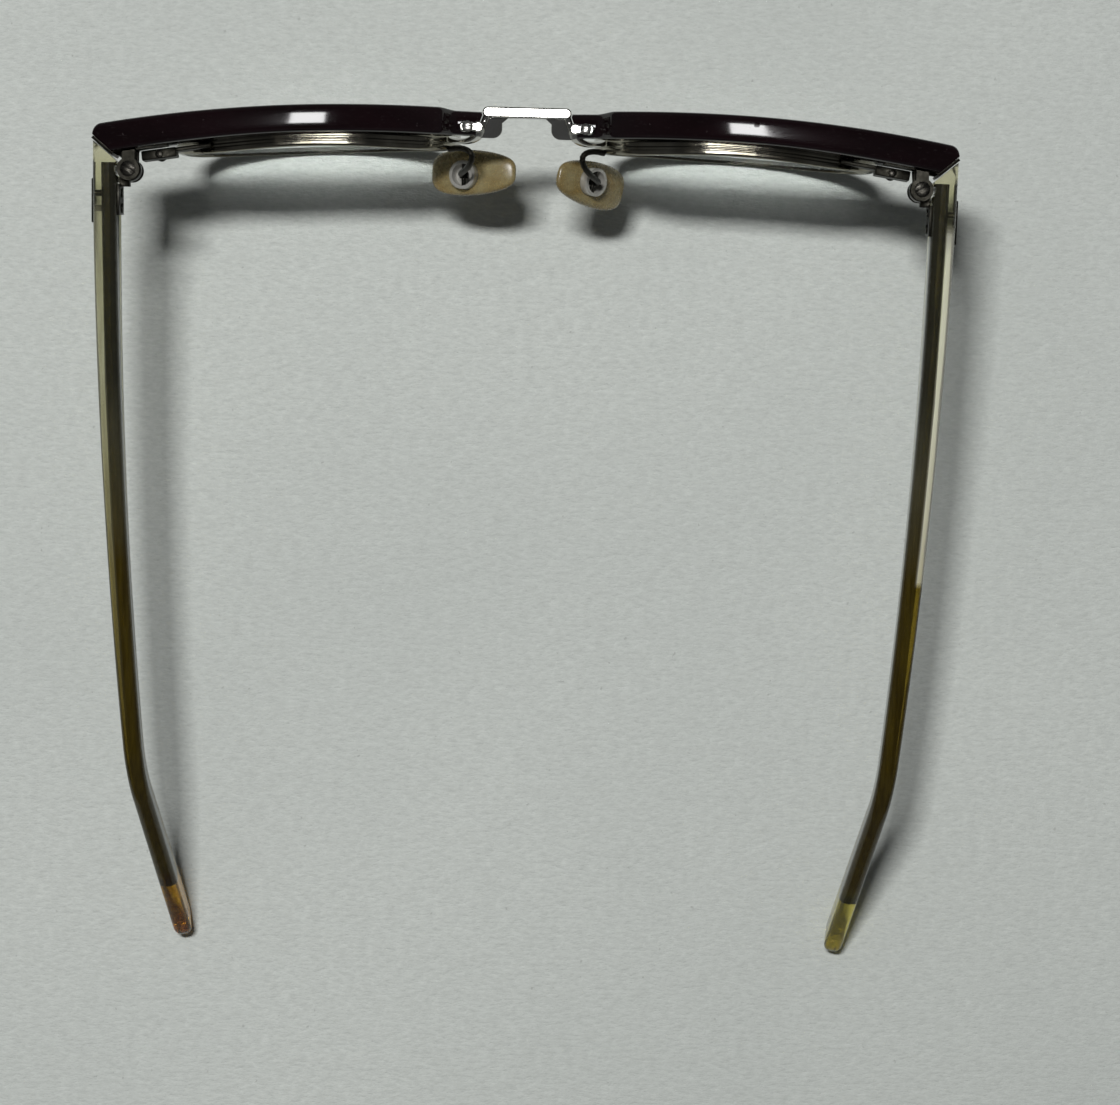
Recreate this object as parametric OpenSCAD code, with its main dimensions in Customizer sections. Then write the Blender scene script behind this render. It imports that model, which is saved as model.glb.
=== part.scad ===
// Browline eyeglasses standing open on a table: acetate brows over metal eyewires,
// a stamped bridge, rocking nose pads and folding temples with a metal core.
// The front is drawn upright with its lower rims at z = 0 and is then leaned back;
// X runs across the face, Y runs back along the temples. The side at +X is drawn
// and the other one is its mirror image, apart from the set of the nose pads.

/* [Lenses] */
// Width of each lens
lens_w = 45; // [42:0.5:48]
// Height of each lens
lens_h = 37.2; // [35:0.2:39.6]
// Distance between the two lenses
lens_gap = 23; // [22:0.5:26]
// Radius of the lens curve
lens_radius = 98; // [88:1:120]
// Thickness of each lens
lens_t = 2; // [1.6:0.1:2.4]
// Squareness of the upper half of the lens outline
upper_square = 2.7; // [2.4:0.1:3]
// Squareness of the lower half of the lens outline
lower_square = 2.15; // [2:0.05:2.5]

/* [Eyewires] */
// Thickness of the eyewire around the lens
eyewire_t = 1.2; // [1:0.1:1.5]
// Depth of the eyewire, front to back
eyewire_d = 2.4; // [2.2:0.1:2.8]
// Depth of the groove that holds the lens
groove_d = 0.5; // [0.3:0.05:0.6]
// Width of the groove's mouth
groove_w = 1.2; // [0.9:0.1:1.5]
// Thickness of the closing block, front to back
lock_d = 1.5; // [1.3:0.1:1.8]
// Height of the closing block
lock_h = 3.8; // [3.4:0.2:4.2]

/* [Front] */
// Distance from the lens to the outer end of the brow
end_w = 11.8; // [11.4:0.1:13]
// Lean of the front, its top backward, when the pair stands open
front_lean = 2; // [1:0.5:4]
// Wrap of each half of the front around the face
face_wrap = 2.6; // [1:0.2:4]

/* [Brows] */
// Depth of the brow over the lens, front to back
brow_d = 4.3; // [4:0.1:4.8]
// Depth of the brow at its outer end
brow_end_d = 4.7; // [4.5:0.1:5]
// Radius of the brow's front curve
brow_radius = 240; // [220:5:300]
// Height of the brow at its outer end
brow_end_h = 9.8; // [9.2:0.2:11]
// Height of the brow's highest point above the lens
brow_rise = 5.2; // [4.6:0.2:6]
// Overlap of the brow down the front of the lens
brow_cover = 1.4; // [1:0.1:2]
// Rounding of the brow's long edges
brow_round = 0.9; // [0.5:0.1:1.2]
// Height of the brow's thin inner end
neck_h = 3.2; // [2.8:0.2:3.6]

/* [Bridge] */
// Length of the bridge bar
bar_l = 12.4; // [11:0.2:14]
// Depth of the bridge bar, front to back
bar_d = 1.75; // [1.4:0.05:2.2]
// Height of the bridge bar
bar_h = 2.2; // [1.8:0.1:2.6]
// Width of the bridge legs
leg_w = 1.1; // [0.9:0.1:1.3]
// Thickness of the feet that lie on the brows
foot_t = 0.6; // [0.5:0.05:0.8]

/* [Nose pads] */
// Length of each nose pad
pad_l = 15; // [12:0.5:16]
// Width of each nose pad
pad_w = 7.4; // [6.4:0.2:8]
// Thickness of each nose pad
pad_t = 2.8; // [2.4:0.1:3.2]
// Height of the pad pivots above the lower rims
pad_z = 21.6; // [19:0.2:22.4]
// Lean of the left pad, its top inward, as bent
left_lean = 66; // [30:1:70]
// Lean of the right pad, its top inward, as bent
right_lean = 46; // [30:1:70]
// Share of the left pad's length below its pivot
left_share = 0.44; // [0.4:0.01:0.5]
// Share of the right pad's length below its pivot
right_share = 0.58; // [0.5:0.01:0.6]
// Distance of the left pad's pivot from the middle
left_out = 10.2; // [9.4:0.1:11]
// Distance of the right pad's pivot from the middle
right_out = 10.9; // [10.4:0.1:12]
// Distance of the left pad's pivot behind the lens centre's plane
left_back = 7.2; // [7:0.1:8.4]
// Distance of the right pad's pivot behind the lens centre's plane
right_back = 7.8; // [7.2:0.1:9]
// Turn of the right pad, its outer end backward
right_turn = 11; // [0:1:15]
// Offset of the left pad from the middle of its cup, backward
left_set = -0.5; // [-0.7:0.1:0.7]
// Offset of the right pad from the middle of its cup, backward
right_set = 0.3; // [-0.7:0.1:0.7]
// Thickness of the pad arm wire
arm_d = 1; // [0.8:0.05:1.2]
// Outer diameter of the pad cup
cup_d = 4.6; // [4.2:0.1:5]
// Depth of the pad cup
cup_h = 2.2; // [2:0.1:2.6]

/* [Hinges] */
// Diameter of the hinge barrel
barrel_d = 3.6; // [3.2:0.1:3.8]
// Height of the hinge barrel
barrel_h = 7; // [6:0.2:8]
// Diameter of the hinge screw
pin_d = 1.4; // [1.2:0.1:1.6]
// Distance from the hinge screw's axis to the temple's inner face
pin_gap = 1.7; // [1.6:0.05:1.9]
// Thickness of the hinge plates
leaf_t = 0.5; // [0.4:0.05:0.6]
// Thickness of the mitre plate at the end of the brow
mitre_t = 0.45; // [0.35:0.05:0.6]
// Angle of the mitre between the brow and the temple
mitre_angle = 40; // [38:1:43]

/* [Temples] */
// Length from the hinge to the bend behind the ear
temple_l = 96.5; // [90:0.5:104]
// Width of the temple at the hinge
temple_front_w = 3.9; // [3.6:0.1:4.2]
// Width of the temple at the bend
temple_rear_w = 3; // [2.6:0.1:3.4]
// Height of the temple at the hinge
temple_front_h = 8; // [7:0.2:8.6]
// Height of the temple at the bend
temple_rear_h = 4.8; // [4.4:0.1:5.2]
// Length of the tip from the bend to its end
tip_l = 39; // [34:0.5:44]
// Height of the tip at its end
tip_h = 5.6; // [5:0.1:6.2]
// Drop of the tip below the line of the temple, in degrees
tip_drop = 38; // [34:1:42]
// Inward turn of the tip at the bend, in degrees
tip_turn = 5; // [2:1:9]
// Radius of the bend
bend_r = 14; // [10:1:20]
// Inward angle of the open temple
toe_in = 0.8; // [0.4:0.2:2.4]
// Inward bow of the temple over its length
temple_bow = 4.7; // [3:0.1:5.2]
// Width of the metal core
core_w = 1.5; // [1.2:0.1:1.7]
// Height of the metal core
core_h = 2.6; // [2.2:0.1:3]
// Length of the shield plate on the temple
shield_l = 7; // [6:0.2:8]
// Height of the shield plate
shield_h = 3.4; // [2.8:0.2:4]
// Thickness of the shield plate
shield_t = 0.5; // [0.4:0.05:0.7]
// Diameter of the hinge rivets
rivet_d = 1; // [0.8:0.05:1.2]
// Distance between the two hinge rivets
rivet_pitch = 2.4; // [2:0.1:2.6]

/* [Clearances] */
// Gap between parts that are brazed or pressed together
seam = 0.06; // [0.04:0.01:0.1]
// Running gap around the hinge screw and the pad pins
pin_fit = 0.05; // [0.03:0.01:0.08]
// Gap between the faces of the hinge barrels
barrel_gap = 0.1; // [0.06:0.01:0.15]
// Gap between the temple and the mitre plate
mitre_gap = 0.15; // [0.1:0.01:0.25]
// Gap between the brow and the eyewire
brow_gap = 0.12; // [0.08:0.01:0.2]
// Gap that lets the temple swing round the hinge barrel
swing_gap = 0.35; // [0.3:0.05:0.4]

/* [Hidden] */
OUTLINE_STEPS = 72;
EDGE_STEPS = 3;
ROUND_STEPS = 40;

rim_out = eyewire_t - groove_d;
lens_x = (lens_gap + lens_w) / 2;
lens_z = rim_out + lens_h / 2;
lens_y = -4;
end_x = lens_gap / 2 + lens_w + end_w;
sphere_x = -lens_radius * sin(face_wrap);
sphere_y = lens_radius * cos(face_wrap);
nasal_cut = 0.05;
nasal_corner = 222;
rim_edge = 0.4;

brow_y = lens_y - 2;
brow_top_z = lens_z + lens_h / 2 + brow_rise;
brow_peak_x = lens_x + 3.5;
brow_end_top = brow_top_z - 0.7;
brow_end_z = brow_end_top - brow_end_h;
brow_low_z = lens_z + lens_h / 2 - brow_cover;
brow_nasal_drop = 4.6;
brow_corner = 1.3;
cheek_x = lens_x + lens_w / 2 - 0.5;
cheek_drop = brow_low_z - lens_z - 0.34 * lens_h;
neck_end_x = lens_gap / 2 - 0.5;
neck_ramp = 3;
neck_setback = 0.3;
neck_d = brow_d - 0.5;

pin_x = end_x - temple_front_w - pin_gap;
seat_d = 0.3;
web_l = 1.1;
pin_y = brow_back(pin_x) - seat_d + leaf_t + web_l + barrel_d / 2;
hinge_z = (brow_end_top + brow_end_z) / 2;
mitre_y = brow_front(end_x) + 1.65;
seat_angle = face_wrap + asin((pin_x - lens_x) / brow_radius);
knuckle_h = (barrel_h - 2 * barrel_gap) / 3;
head_d = barrel_d - 1.2;
head_t = 0.55;
head_sink = 0.35;
stud_d = 1.2;
stud_l = 2;
stud_z = 1.1;
seat_l = 6;
seat_h = 3.8;
seat_low = -0.8;

lock_split = 0.2;
lock_z = lens_z + 0.4 * lens_h;
lock_x = lens_x + 0.36 * lens_w;
lock_l = (pin_x - lock_x) / cos(seat_angle) - 1.5;
lock_block_l = 5.6;
lock_tongue_d = 0.7;
lock_tongue_h = lock_h - 0.6;
lock_screw_x = lock_l - lock_block_l / 2;
lock_screw_d = 1.2;
lock_head_d = 1.9;
lock_head_t = 0.6;

bar_z = lens_z + 0.48 * lens_h;
bar_y = brow_y - 0.8;
neck_top = bar_z - 0.3;
leg_l = 3.4;
foot_x = bar_l / 2 + 1.3;
foot_l = 3.3;
foot_y = bar_y + 3.3;
foot_w = 1.5;
foot_screw_x = foot_x + 1.9;
foot_screw_d = 0.9;
foot_head_d = 1.8;

cup_wall = 0.5;
eye_r = 0.7;
eye_w = 1.1;
pad_pin_d = 0.7;
cup_floor = 1;
cup_base = cup_floor + 0.4;
pad_sink = 0.9;

leaf_y = barrel_d / 2 + 0.45;
leaf_l = 4.9;
leaf_h = 6;
plate_sink = 0.15;
rivet_y = leaf_y + 1.4;
rivet_head_d = rivet_d + 0.6;
rivet_head_t = 0.25;
core_front = -1.2;
core_end_gap = 13;

tip_r = tip_h / 2;
bend_from = [-2 * temple_bow, temple_l, 0] / norm([-2 * temple_bow, temple_l, 0]);
bend_yaw = atan(2 * temple_bow / temple_l) + tip_turn;
bend_to = [-sin(bend_yaw) * cos(tip_drop), cos(bend_yaw) * cos(tip_drop), -sin(tip_drop)];
bend_angle = acos(bend_from * bend_to);
bend_cut = bend_r * tan(bend_angle / 2);
bend_arc = bend_r * bend_angle * PI / 180;
bend_apex = [run_x(temple_l), temple_l, 0];
bend_in = unit(bend_to - cos(bend_angle) * bend_from);
run_end = temple_l - bend_cut;
temple_end = run_end + bend_arc + tip_l - bend_cut - tip_r;

// The slope of the temple below the front's own level lets the tips just reach the
// table when the lower rims stand on it
lean_s = sin(front_lean);
lean_c = cos(front_lean);
tip_centre = temple_path(temple_end);
rim_low_y = wire_y(0, -lens_h / 2) + eyewire_d / 2 - rim_edge;
tip_rise = hinge_z * lean_c + rim_low_y * lean_s - tip_r
    - (pin_y + tip_centre[0] * sin(toe_in)) * lean_s;
slope_s = tip_centre[1] * lean_c + tip_centre[2] * cos(toe_in) * lean_s;
slope_c = tip_centre[1] * cos(toe_in) * lean_s - tip_centre[2] * lean_c;
temple_slope = asin(tip_rise / norm([slope_s, slope_c])) - atan2(slope_c, slope_s);

tip_y = tip_centre[1] * cos(temple_slope) + tip_centre[2] * sin(temple_slope);
tip_z = tip_centre[2] * cos(temple_slope) - tip_centre[1] * sin(temple_slope);
pair_front = bar_y * lean_c + (bar_z - bar_h) * lean_s;
pair_back = (pin_y + tip_centre[0] * sin(toe_in) + tip_y * cos(toe_in)) * lean_c
    + (hinge_z + tip_z) * lean_s + tip_r;

// Small helpers

function lerp(a, b, t) = a + (b - a) * t;
function ease(t) = t <= 0 ? 0 : (t >= 1 ? 1 : t * t * (3 - 2 * t));
function unit(v) = v / norm(v);
function bezier(p, t) = len(p) == 1
    ? p[0]
    : bezier([for (i = [0 : len(p) - 2]) lerp(p[i], p[i + 1], t)], t);

// A rounded rectangle as [across, up] points
function rounded_box(w, h, r) = [
    for (q = [0 : 3], k = [0 : EDGE_STEPS])
        let (a = 90 * q + 90 * k / EDGE_STEPS,
             sx = q == 0 || q == 3 ? 1 : -1,
             sy = q < 2 ? 1 : -1)
        [sx * (w / 2 - r) + r * cos(a), sy * (h / 2 - r) + r * sin(a)]
];

// A flattened round as [across, up] points
function flat_round(w, h, square, steps) = [
    for (k = [0 : steps - 1])
        let (a = 360 * (k + 0.5) / steps)
        [
            w / 2 * sign(cos(a)) * pow(abs(cos(a)), 2 / square),
            h / 2 * sign(sin(a)) * pow(abs(sin(a)), 2 / square)
        ]
];

// The outline points set square to the way a path runs
function ring_at(centre, way, side, outline) =
    let (across = unit(cross(way, side)), up = cross(across, way))
    [for (p = outline) centre + p[0] * across + p[1] * up];

// A solid through rings of points, closed at both ends or joined into a loop
module skin(rings, loop = false) {
    n = len(rings[0]);
    m = len(rings);
    last = loop ? m - 1 : m - 2;
    walls = [
        for (i = [0 : last], j = [0 : n - 1])
            let (a = i * n, b = (i + 1) % m * n, k = (j + 1) % n)
            each [[a + j, a + k, b + k], [a + j, b + k, b + j]]
    ];
    ends = loop ? [] : [
        [for (j = [n - 1 : -1 : 0]) j],
        [for (j = [0 : n - 1]) (m - 1) * n + j]
    ];
    polyhedron(points = [for (r = rings) each r], faces = concat(walls, ends));
}

// The front leaned back and set on the table, with the pair's middle at the origin
module stand() {
    translate([0, -(pair_front + pair_back) / 2, rim_low_y * lean_s])
        rotate([-front_lean, 0, 0])
            children();
}

module right_side() {
    mirror([1, 0, 0]) children();
}

// Lens outline and curve, around the lens's own centre

function outline_r(a) =
    let (square = lerp(lower_square, upper_square, ease(0.5 + sin(a) / 2)),
         x = abs(cos(a)) / (lens_w / 2),
         z = abs(sin(a)) / (lens_h / 2))
    pow(pow(x, square) + pow(z, square), -1 / square)
        * (1 - nasal_cut * pow(max(0, cos(a - nasal_corner)), 8));

function outline_at(a) = outline_r(a) * [cos(a), sin(a)];

function outline_out(a) =
    let (t = outline_at(a + 0.5) - outline_at(a - 0.5))
    [t[1], -t[0]] / norm(t);

function edge_at(a, out) = outline_at(a) + out * outline_out(a);

function wire_y(x, z) = lens_y + sphere_y
    - sqrt(pow(lens_radius, 2) - pow(x - sphere_x, 2) - z * z);

// The lens outline grown by out, as a bar through the front
module outline_bar(out) {
    translate([lens_x, 30, lens_z])
        rotate([90, 0, 0])
            linear_extrude(60)
                polygon([for (k = [0 : OUTLINE_STEPS - 1]) edge_at(360 * k / OUTLINE_STEPS, out)]);
}

module lens_ball(r) {
    translate([lens_x + sphere_x, lens_y + sphere_y, lens_z])
        sphere(r, $fn = 240);
}

module curved_slab(out, t) {
    difference() {
        intersection() {
            outline_bar(out);
            translate([lens_x - lens_w, lens_y - 8, 0])
                cube([2 * lens_w, 16, 2 * lens_h]);
            lens_ball(lens_radius + t / 2);
        }
        lens_ball(lens_radius - t / 2);
    }
}

module lens() {
    color([0.86, 0.9, 0.88, 0.35]) {
        curved_slab(-groove_d - seam, lens_t);
        curved_slab(-seam, 0.5);
    }
}

// Eyewire: a grooved ring, split at the closing block

function wire_section() = [
    [-groove_d, -eyewire_d / 2 + 0.1],
    [-groove_d, -groove_w / 2],
    [0, -0.35],
    [0, 0.35],
    [-groove_d, groove_w / 2],
    [-groove_d, eyewire_d / 2 - 0.1],
    [rim_out - rim_edge, eyewire_d / 2],
    [rim_out, eyewire_d / 2 - rim_edge],
    [rim_out, -eyewire_d / 2 + rim_edge],
    [rim_out - rim_edge, -eyewire_d / 2]
];

module wire_ring() {
    translate([lens_x, 0, lens_z])
        skin([
            for (k = [0 : OUTLINE_STEPS - 1])
                [for (p = wire_section())
                    let (a = 360 * k / OUTLINE_STEPS,
                         mid = outline_at(a),
                         at = edge_at(a, p[0]))
                    [at[0], wire_y(mid[0], mid[1]) + p[1], at[1]]]
        ], loop = true);
}

module at_lock() {
    translate([lock_x, brow_back(lock_x) + leaf_t - seat_d + seam, lock_z])
        rotate([0, 0, seat_angle - 0.6])
            children();
}

// The closing block, on a thin tongue from the outer side of the ring
module lock_block() {
    difference() {
        at_lock() {
            translate([0, 0, -lock_tongue_h / 2])
                cube([lock_l, lock_tongue_d, lock_tongue_h]);
            translate([lock_l - lock_block_l, 0, -lock_h / 2])
                cube([lock_block_l, lock_d, lock_h]);
        }
        outline_bar(seam);
    }
}

module eyewire() {
    color([0.75, 0.75, 0.72])
        difference() {
            union() {
                wire_ring();
                lock_block();
            }
            at_lock() translate([-2, -3, -lock_split / 2])
                cube([lock_l + 4, 6, lock_split]);
            at_lock() translate([lock_screw_x, lock_d / 2, -lock_h])
                cylinder(d = lock_screw_d + seam, h = 2 * lock_h, $fn = 24);
        }
}

module rim_lock_screw() {
    at_lock() translate([lock_screw_x, lock_d / 2, -lock_h / 2]) {
        translate([0, 0, -seam])
            cylinder(d = lock_screw_d, h = lock_h - 0.2 + seam, $fn = 24);
        translate([0, 0, -lock_head_t - seam])
            cylinder(d = lock_head_d, h = lock_head_t, $fn = 24);
    }
}

module rim_lock_screws() {
    color([0.7, 0.7, 0.68]) {
        rim_lock_screw();
        right_side() rim_lock_screw();
    }
}

// Brow: a curved bar whose height and depth change along its length

function brow_bow(x) =
    let (r = x < lens_x ? 1.5 * brow_radius : brow_radius)
    (x - lens_x) * tan(face_wrap) + r - sqrt(r * r - pow(x - lens_x, 2));
function brow_front(x) = brow_y + brow_bow(x);
function brow_back(x) = brow_y + brow_bow(x)
    + lerp(brow_d, brow_end_d, ease((x - lens_x) / (end_x - lens_x)));
function neck_step(x) = ease((x - neck_end_x) / neck_ramp);
function brow_top(x) = brow_top_z - (x < brow_peak_x
    ? brow_nasal_drop * pow((brow_peak_x - x) / (brow_peak_x - neck_end_x), 2)
    : (brow_top_z - brow_end_top) * pow((x - brow_peak_x) / (end_x - brow_peak_x), 2));
function brow_low(x) = x < lens_x
    ? brow_low_z - 3.6 * pow((lens_x - x) / (lens_w / 2), 2)
    : brow_low_z - cheek_drop * ease((x - lens_x) / (cheek_x - lens_x))
        + (brow_end_z - brow_low_z + cheek_drop) * ease((x - cheek_x) / (end_x - cheek_x));
function corner_back(x) = x < end_x - brow_corner
    ? 0
    : brow_corner - sqrt(max(0, pow(brow_corner, 2) - pow(x - end_x + brow_corner, 2)));

function brow_ring(x) =
    let (s = neck_step(x),
         front = brow_front(x) + (1 - s) * neck_setback + corner_back(x),
         back = lerp(brow_front(x) + neck_setback + neck_d, brow_back(x), s),
         top = lerp(neck_top, brow_top(x), s),
         low = lerp(neck_top - neck_h, brow_low(x), s),
         r = lerp(0.6, brow_round, s))
    [for (p = rounded_box(back - front, top - low, r))
        [x, (front + back) / 2 - p[0], (top + low) / 2 + p[1]]];

module at_mitre(gap = 0) {
    translate([end_x, mitre_y, 0])
        rotate([0, 0, -mitre_angle])
            translate([0, gap, 0])
                children();
}

module at_seat() {
    translate([pin_x, brow_back(pin_x) - seat_d, hinge_z])
        rotate([0, 0, seat_angle])
            children();
}

module at_leg() {
    translate([bar_l / 2, bar_y + bar_d / 2, 0])
        rotate([0, 0, -20])
            children();
}

module brow() {
    nose_x = bar_l / 2 + 0.3;
    fine = [for (k = [0 : 8]) lerp(nose_x, neck_end_x + neck_ramp, k / 8)];
    main = [for (k = [1 : 24]) lerp(neck_end_x + neck_ramp, end_x - brow_corner, k / 24)];
    corner = [for (k = [1 : 5]) end_x - brow_corner + brow_corner * sin(16 * k)];
    color([0.1, 0.03, 0.045])
        difference() {
            skin([for (x = concat(fine, main, corner)) brow_ring(x)]);
            intersection() {
                outline_bar(rim_out + brow_gap);
                lens_ball(lens_radius + eyewire_d / 2 + brow_gap + 0.05);
            }
            at_mitre(-seam) translate([-10, 0, 0]) cube([20, 10, 80]);
            at_seat() translate([-1.2, -seam, -barrel_h / 2 - seam])
                cube([6, 5, barrel_h + 2 * seam]);
            at_seat() translate([-seat_l - seam, -seam, seat_low - seam])
                cube([seat_l, 5, seat_h + 2 * seam]);
            at_seat() studs(stud_d + seam, stud_l + 0.1);
            at_leg() translate([-4, -4, 0])
                cube([4 + leg_w / 2 + 0.1, 12, 80]);
            at_leg() cylinder(d = bar_d + 4 * seam, h = 80, $fn = ROUND_STEPS);
            strap(seam);
            translate([foot_screw_x, foot_y, neck_top - 2.6])
                cylinder(d = foot_screw_d + seam, h = 5, $fn = 24);
        }
}

// Hinge: two outer knuckles on the front, one middle knuckle on the temple

module studs(d, l) {
    for (x = [-4.4, 1.4])
        translate([x, 0.1, stud_z])
            rotate([90, 0, 0])
                cylinder(d = d, h = l + 0.1, $fn = 24);
}

module knuckle(z) {
    translate([pin_x, pin_y, hinge_z + z - knuckle_h / 2])
        cylinder(d = barrel_d, h = knuckle_h, $fn = ROUND_STEPS);
}

module hinge_bore(r) {
    translate([pin_x, pin_y, hinge_z - barrel_h])
        cylinder(r = r, h = 2 * barrel_h, $fn = ROUND_STEPS);
}

module hinge_front() {
    step = knuckle_h + barrel_gap;
    plate_l = 4.35;
    plate_z = brow_end_z + 0.4;
    plate_h = brow_end_h - 0.7;
    color([0.7, 0.7, 0.68])
        difference() {
            union() {
                for (z = [-step, step]) {
                    knuckle(z);
                    translate([pin_x - 1, brow_back(pin_x) - seat_d + 0.2, hinge_z + z - knuckle_h / 2])
                        cube([2, pin_y - brow_back(pin_x) + seat_d - 0.2, knuckle_h]);
                }
                at_seat() translate([-1.1, 0, -barrel_h / 2])
                    cube([3.9, leaf_t, barrel_h]);
                at_seat() translate([-seat_l, 0, seat_low])
                    cube([seat_l, leaf_t, seat_h]);
                at_seat() studs(stud_d, stud_l);
                at_mitre() translate([-plate_l, 0, plate_z])
                    cube([plate_l - 0.2, mitre_t, plate_h]);
            }
            hinge_bore(pin_d / 2 + pin_fit);
            translate([pin_x, pin_y, hinge_z + barrel_h / 2 - head_sink])
                cylinder(d = head_d + 2 * pin_fit, h = 1, $fn = ROUND_STEPS);
        }
}

module hinge_screw() {
    head_z = hinge_z + barrel_h / 2 - head_sink + seam;
    color([0.62, 0.62, 0.6])
        difference() {
            union() {
                translate([pin_x, pin_y, hinge_z - barrel_h / 2])
                    cylinder(d = pin_d, h = barrel_h - 0.2, $fn = ROUND_STEPS);
                translate([pin_x, pin_y, head_z])
                    cylinder(d = head_d, h = head_t, $fn = ROUND_STEPS);
            }
            translate([pin_x, pin_y, head_z + 0.3])
                rotate([0, 0, -35])
                    translate([-2, -0.2, 0])
                        cube([4, 0.4, 1]);
        }
}

// Temple: its own frame starts at the hinge axis, Y along the temple, X outward

function run_x(y) = pin_gap + temple_front_w / 2 - temple_bow * pow(max(0, y) / temple_l, 2);

function temple_path(s) =
    s <= run_end ? [run_x(s), s, 0]
    : s <= run_end + bend_arc
        ? let (u = (s - run_end) / bend_r * 180 / PI)
            bend_apex - bend_cut * bend_from
                + bend_r * (sin(u) * bend_from + (1 - cos(u)) * bend_in)
        : bend_apex + (bend_cut + s - run_end - bend_arc) * bend_to;

function temple_way(s) = unit(temple_path(s + 0.05) - temple_path(s - 0.05));

function temple_width(s) = s < temple_l
    ? lerp(temple_front_w, temple_rear_w, max(0, s) / temple_l)
    : temple_rear_w;
function temple_height(s) = s < temple_l
    ? lerp(temple_front_h, temple_rear_h, ease(s / (0.7 * temple_l)))
    : lerp(temple_rear_h, tip_h, ease((s - temple_l) / (0.7 * tip_l)));

module at_temple() {
    translate([pin_x, pin_y, hinge_z])
        rotate([0, 0, toe_in])
            rotate([-temple_slope, 0, 0])
                children();
}

function temple_stops(from, to) = concat(
    [for (k = [0 : 8]) lerp(from, run_end, k / 8)],
    [for (k = [1 : 7]) run_end + bend_arc * k / 7],
    [for (k = [1 : 4]) lerp(run_end + bend_arc, to, k / 4)]
);

module temple() {
    front = -9;
    body = [
        for (s = temple_stops(front, temple_end))
            ring_at(temple_path(s), temple_way(s), [0, 0, -1],
                rounded_box(temple_width(s), temple_height(s), 0.34 * temple_width(s)))
    ];
    cap = [
        for (k = [1 : 4])
            let (a = 20 * k, s = temple_end + tip_r * sin(a))
            ring_at(temple_path(s), temple_way(s), [0, 0, -1],
                rounded_box(temple_rear_w * cos(a), tip_h * cos(a), 0.34 * temple_rear_w * cos(a)))
    ];
    color([0.48, 0.4, 0.18, 0.75])
        difference() {
            at_temple() skin(concat(body, cap));
            at_temple() core_bar(seam);
            at_mitre(mitre_t + mitre_gap) translate([-20, -20, 0]) cube([40, 20, 80]);
            hinge_bore(barrel_d / 2 + swing_gap);
            at_temple() rivet_holes(rivet_d + seam);
            at_temple() translate([-1, leaf_y - 0.3, -leaf_h / 2 - seam])
                cube([1 + pin_gap + plate_sink, leaf_l + 0.3 + seam, leaf_h + 2 * seam]);
            at_temple() translate([shield_x(), shield_y() - seam, -shield_h / 2 - seam])
                cube([4, shield_l + 2 * seam, shield_h + 2 * seam]);
        }
}

function shield_x() = pin_gap + temple_front_w - plate_sink;
function shield_y() = rivet_y + rivet_pitch / 2 - shield_l / 2;

// The metal core, or with a gap the hollow that holds it
module core_bar(gap = 0) {
    last = run_end + bend_arc + tip_l - bend_cut - core_end_gap;
    skin([
        for (s = temple_stops(core_front - gap, last + gap))
            ring_at(temple_path(s), temple_way(s), [0, 0, -1],
                flat_round(core_w + 2 * gap, core_h + 2 * gap, 3, 8))
    ]);
}

module temple_core() {
    color([0.28, 0.25, 0.2])
        difference() {
            at_temple() core_bar();
            at_temple() rivet_holes(rivet_d + seam);
        }
}

module rivet_holes(d) {
    for (k = [0, 1])
        translate([-1, rivet_y + k * rivet_pitch, 0])
            rotate([0, 90, 0])
                cylinder(d = d, h = 10, $fn = 24);
}

module hinge_temple() {
    leaf_x = pin_gap + plate_sink - leaf_t;
    color([0.7, 0.7, 0.68])
        difference() {
            union() {
                knuckle(0);
                at_temple() translate([0, 0.2, -0.42 * knuckle_h])
                    cube([pin_gap - seam, leaf_y + 0.2, 0.84 * knuckle_h]);
                at_temple() translate([leaf_x, leaf_y, -leaf_h / 2])
                    cube([leaf_t, leaf_l, leaf_h]);
            }
            hinge_bore(pin_d / 2 + pin_fit);
            at_temple() rivet_holes(rivet_d + seam);
        }
}

module temple_shield() {
    color([0.66, 0.66, 0.64])
        at_temple() translate([shield_x(), shield_y(), -shield_h / 2])
            cube([shield_t, shield_l, shield_h]);
}

module hinge_rivets() {
    from = pin_gap + plate_sink - leaf_t;
    color([0.6, 0.6, 0.56])
        at_temple()
            for (k = [0, 1])
                translate([from, rivet_y + k * rivet_pitch, 0])
                    rotate([0, 90, 0]) {
                        cylinder(d = rivet_d, h = shield_x() - from, $fn = 24);
                        translate([0, 0, -rivet_head_t])
                            cylinder(d = rivet_head_d, h = rivet_head_t, $fn = 24);
                    }
}

// Bridge: a bar with two legs, feet on the brows and straps down to the eyewires

module half_bridge() {
    translate([0, bar_y, bar_z - bar_h])
        cube([bar_l / 2, bar_d, bar_h]);
    at_leg() translate([0, 0, bar_z - bar_h]) {
        cylinder(d = bar_d, h = bar_h, $fn = ROUND_STEPS);
        translate([-leg_w / 2, 0, 0])
            cube([leg_w, leg_l, bar_h]);
    }
    translate([foot_x - 0.6, foot_y - foot_w / 2, neck_top + seam])
        cube([foot_l - 0.3, foot_w, foot_t]);
    translate([foot_x + foot_l - 0.9, foot_y, neck_top + seam])
        cylinder(d = foot_w, h = foot_t, $fn = 24);
    gusset();
    strap();
}

// The rounded tongue that closes the corner between the bar and a leg
module gusset() {
    w = 2.7;
    l = 3.4;
    r = 1.5;
    translate([bar_l / 2 + 0.4, bar_y + bar_d - 0.3, bar_z - bar_h + 0.4])
        rotate([-18, 0, 0])
            linear_extrude(0.9)
                polygon(concat(
                    [[0, 0], [-w - 1, 0], [-w, 0.9]],
                    [for (a = [180 : -15 : 90]) [-w + r + r * cos(a), l - r + r * sin(a)]],
                    [[0.7, l]]
                ));
}

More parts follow.
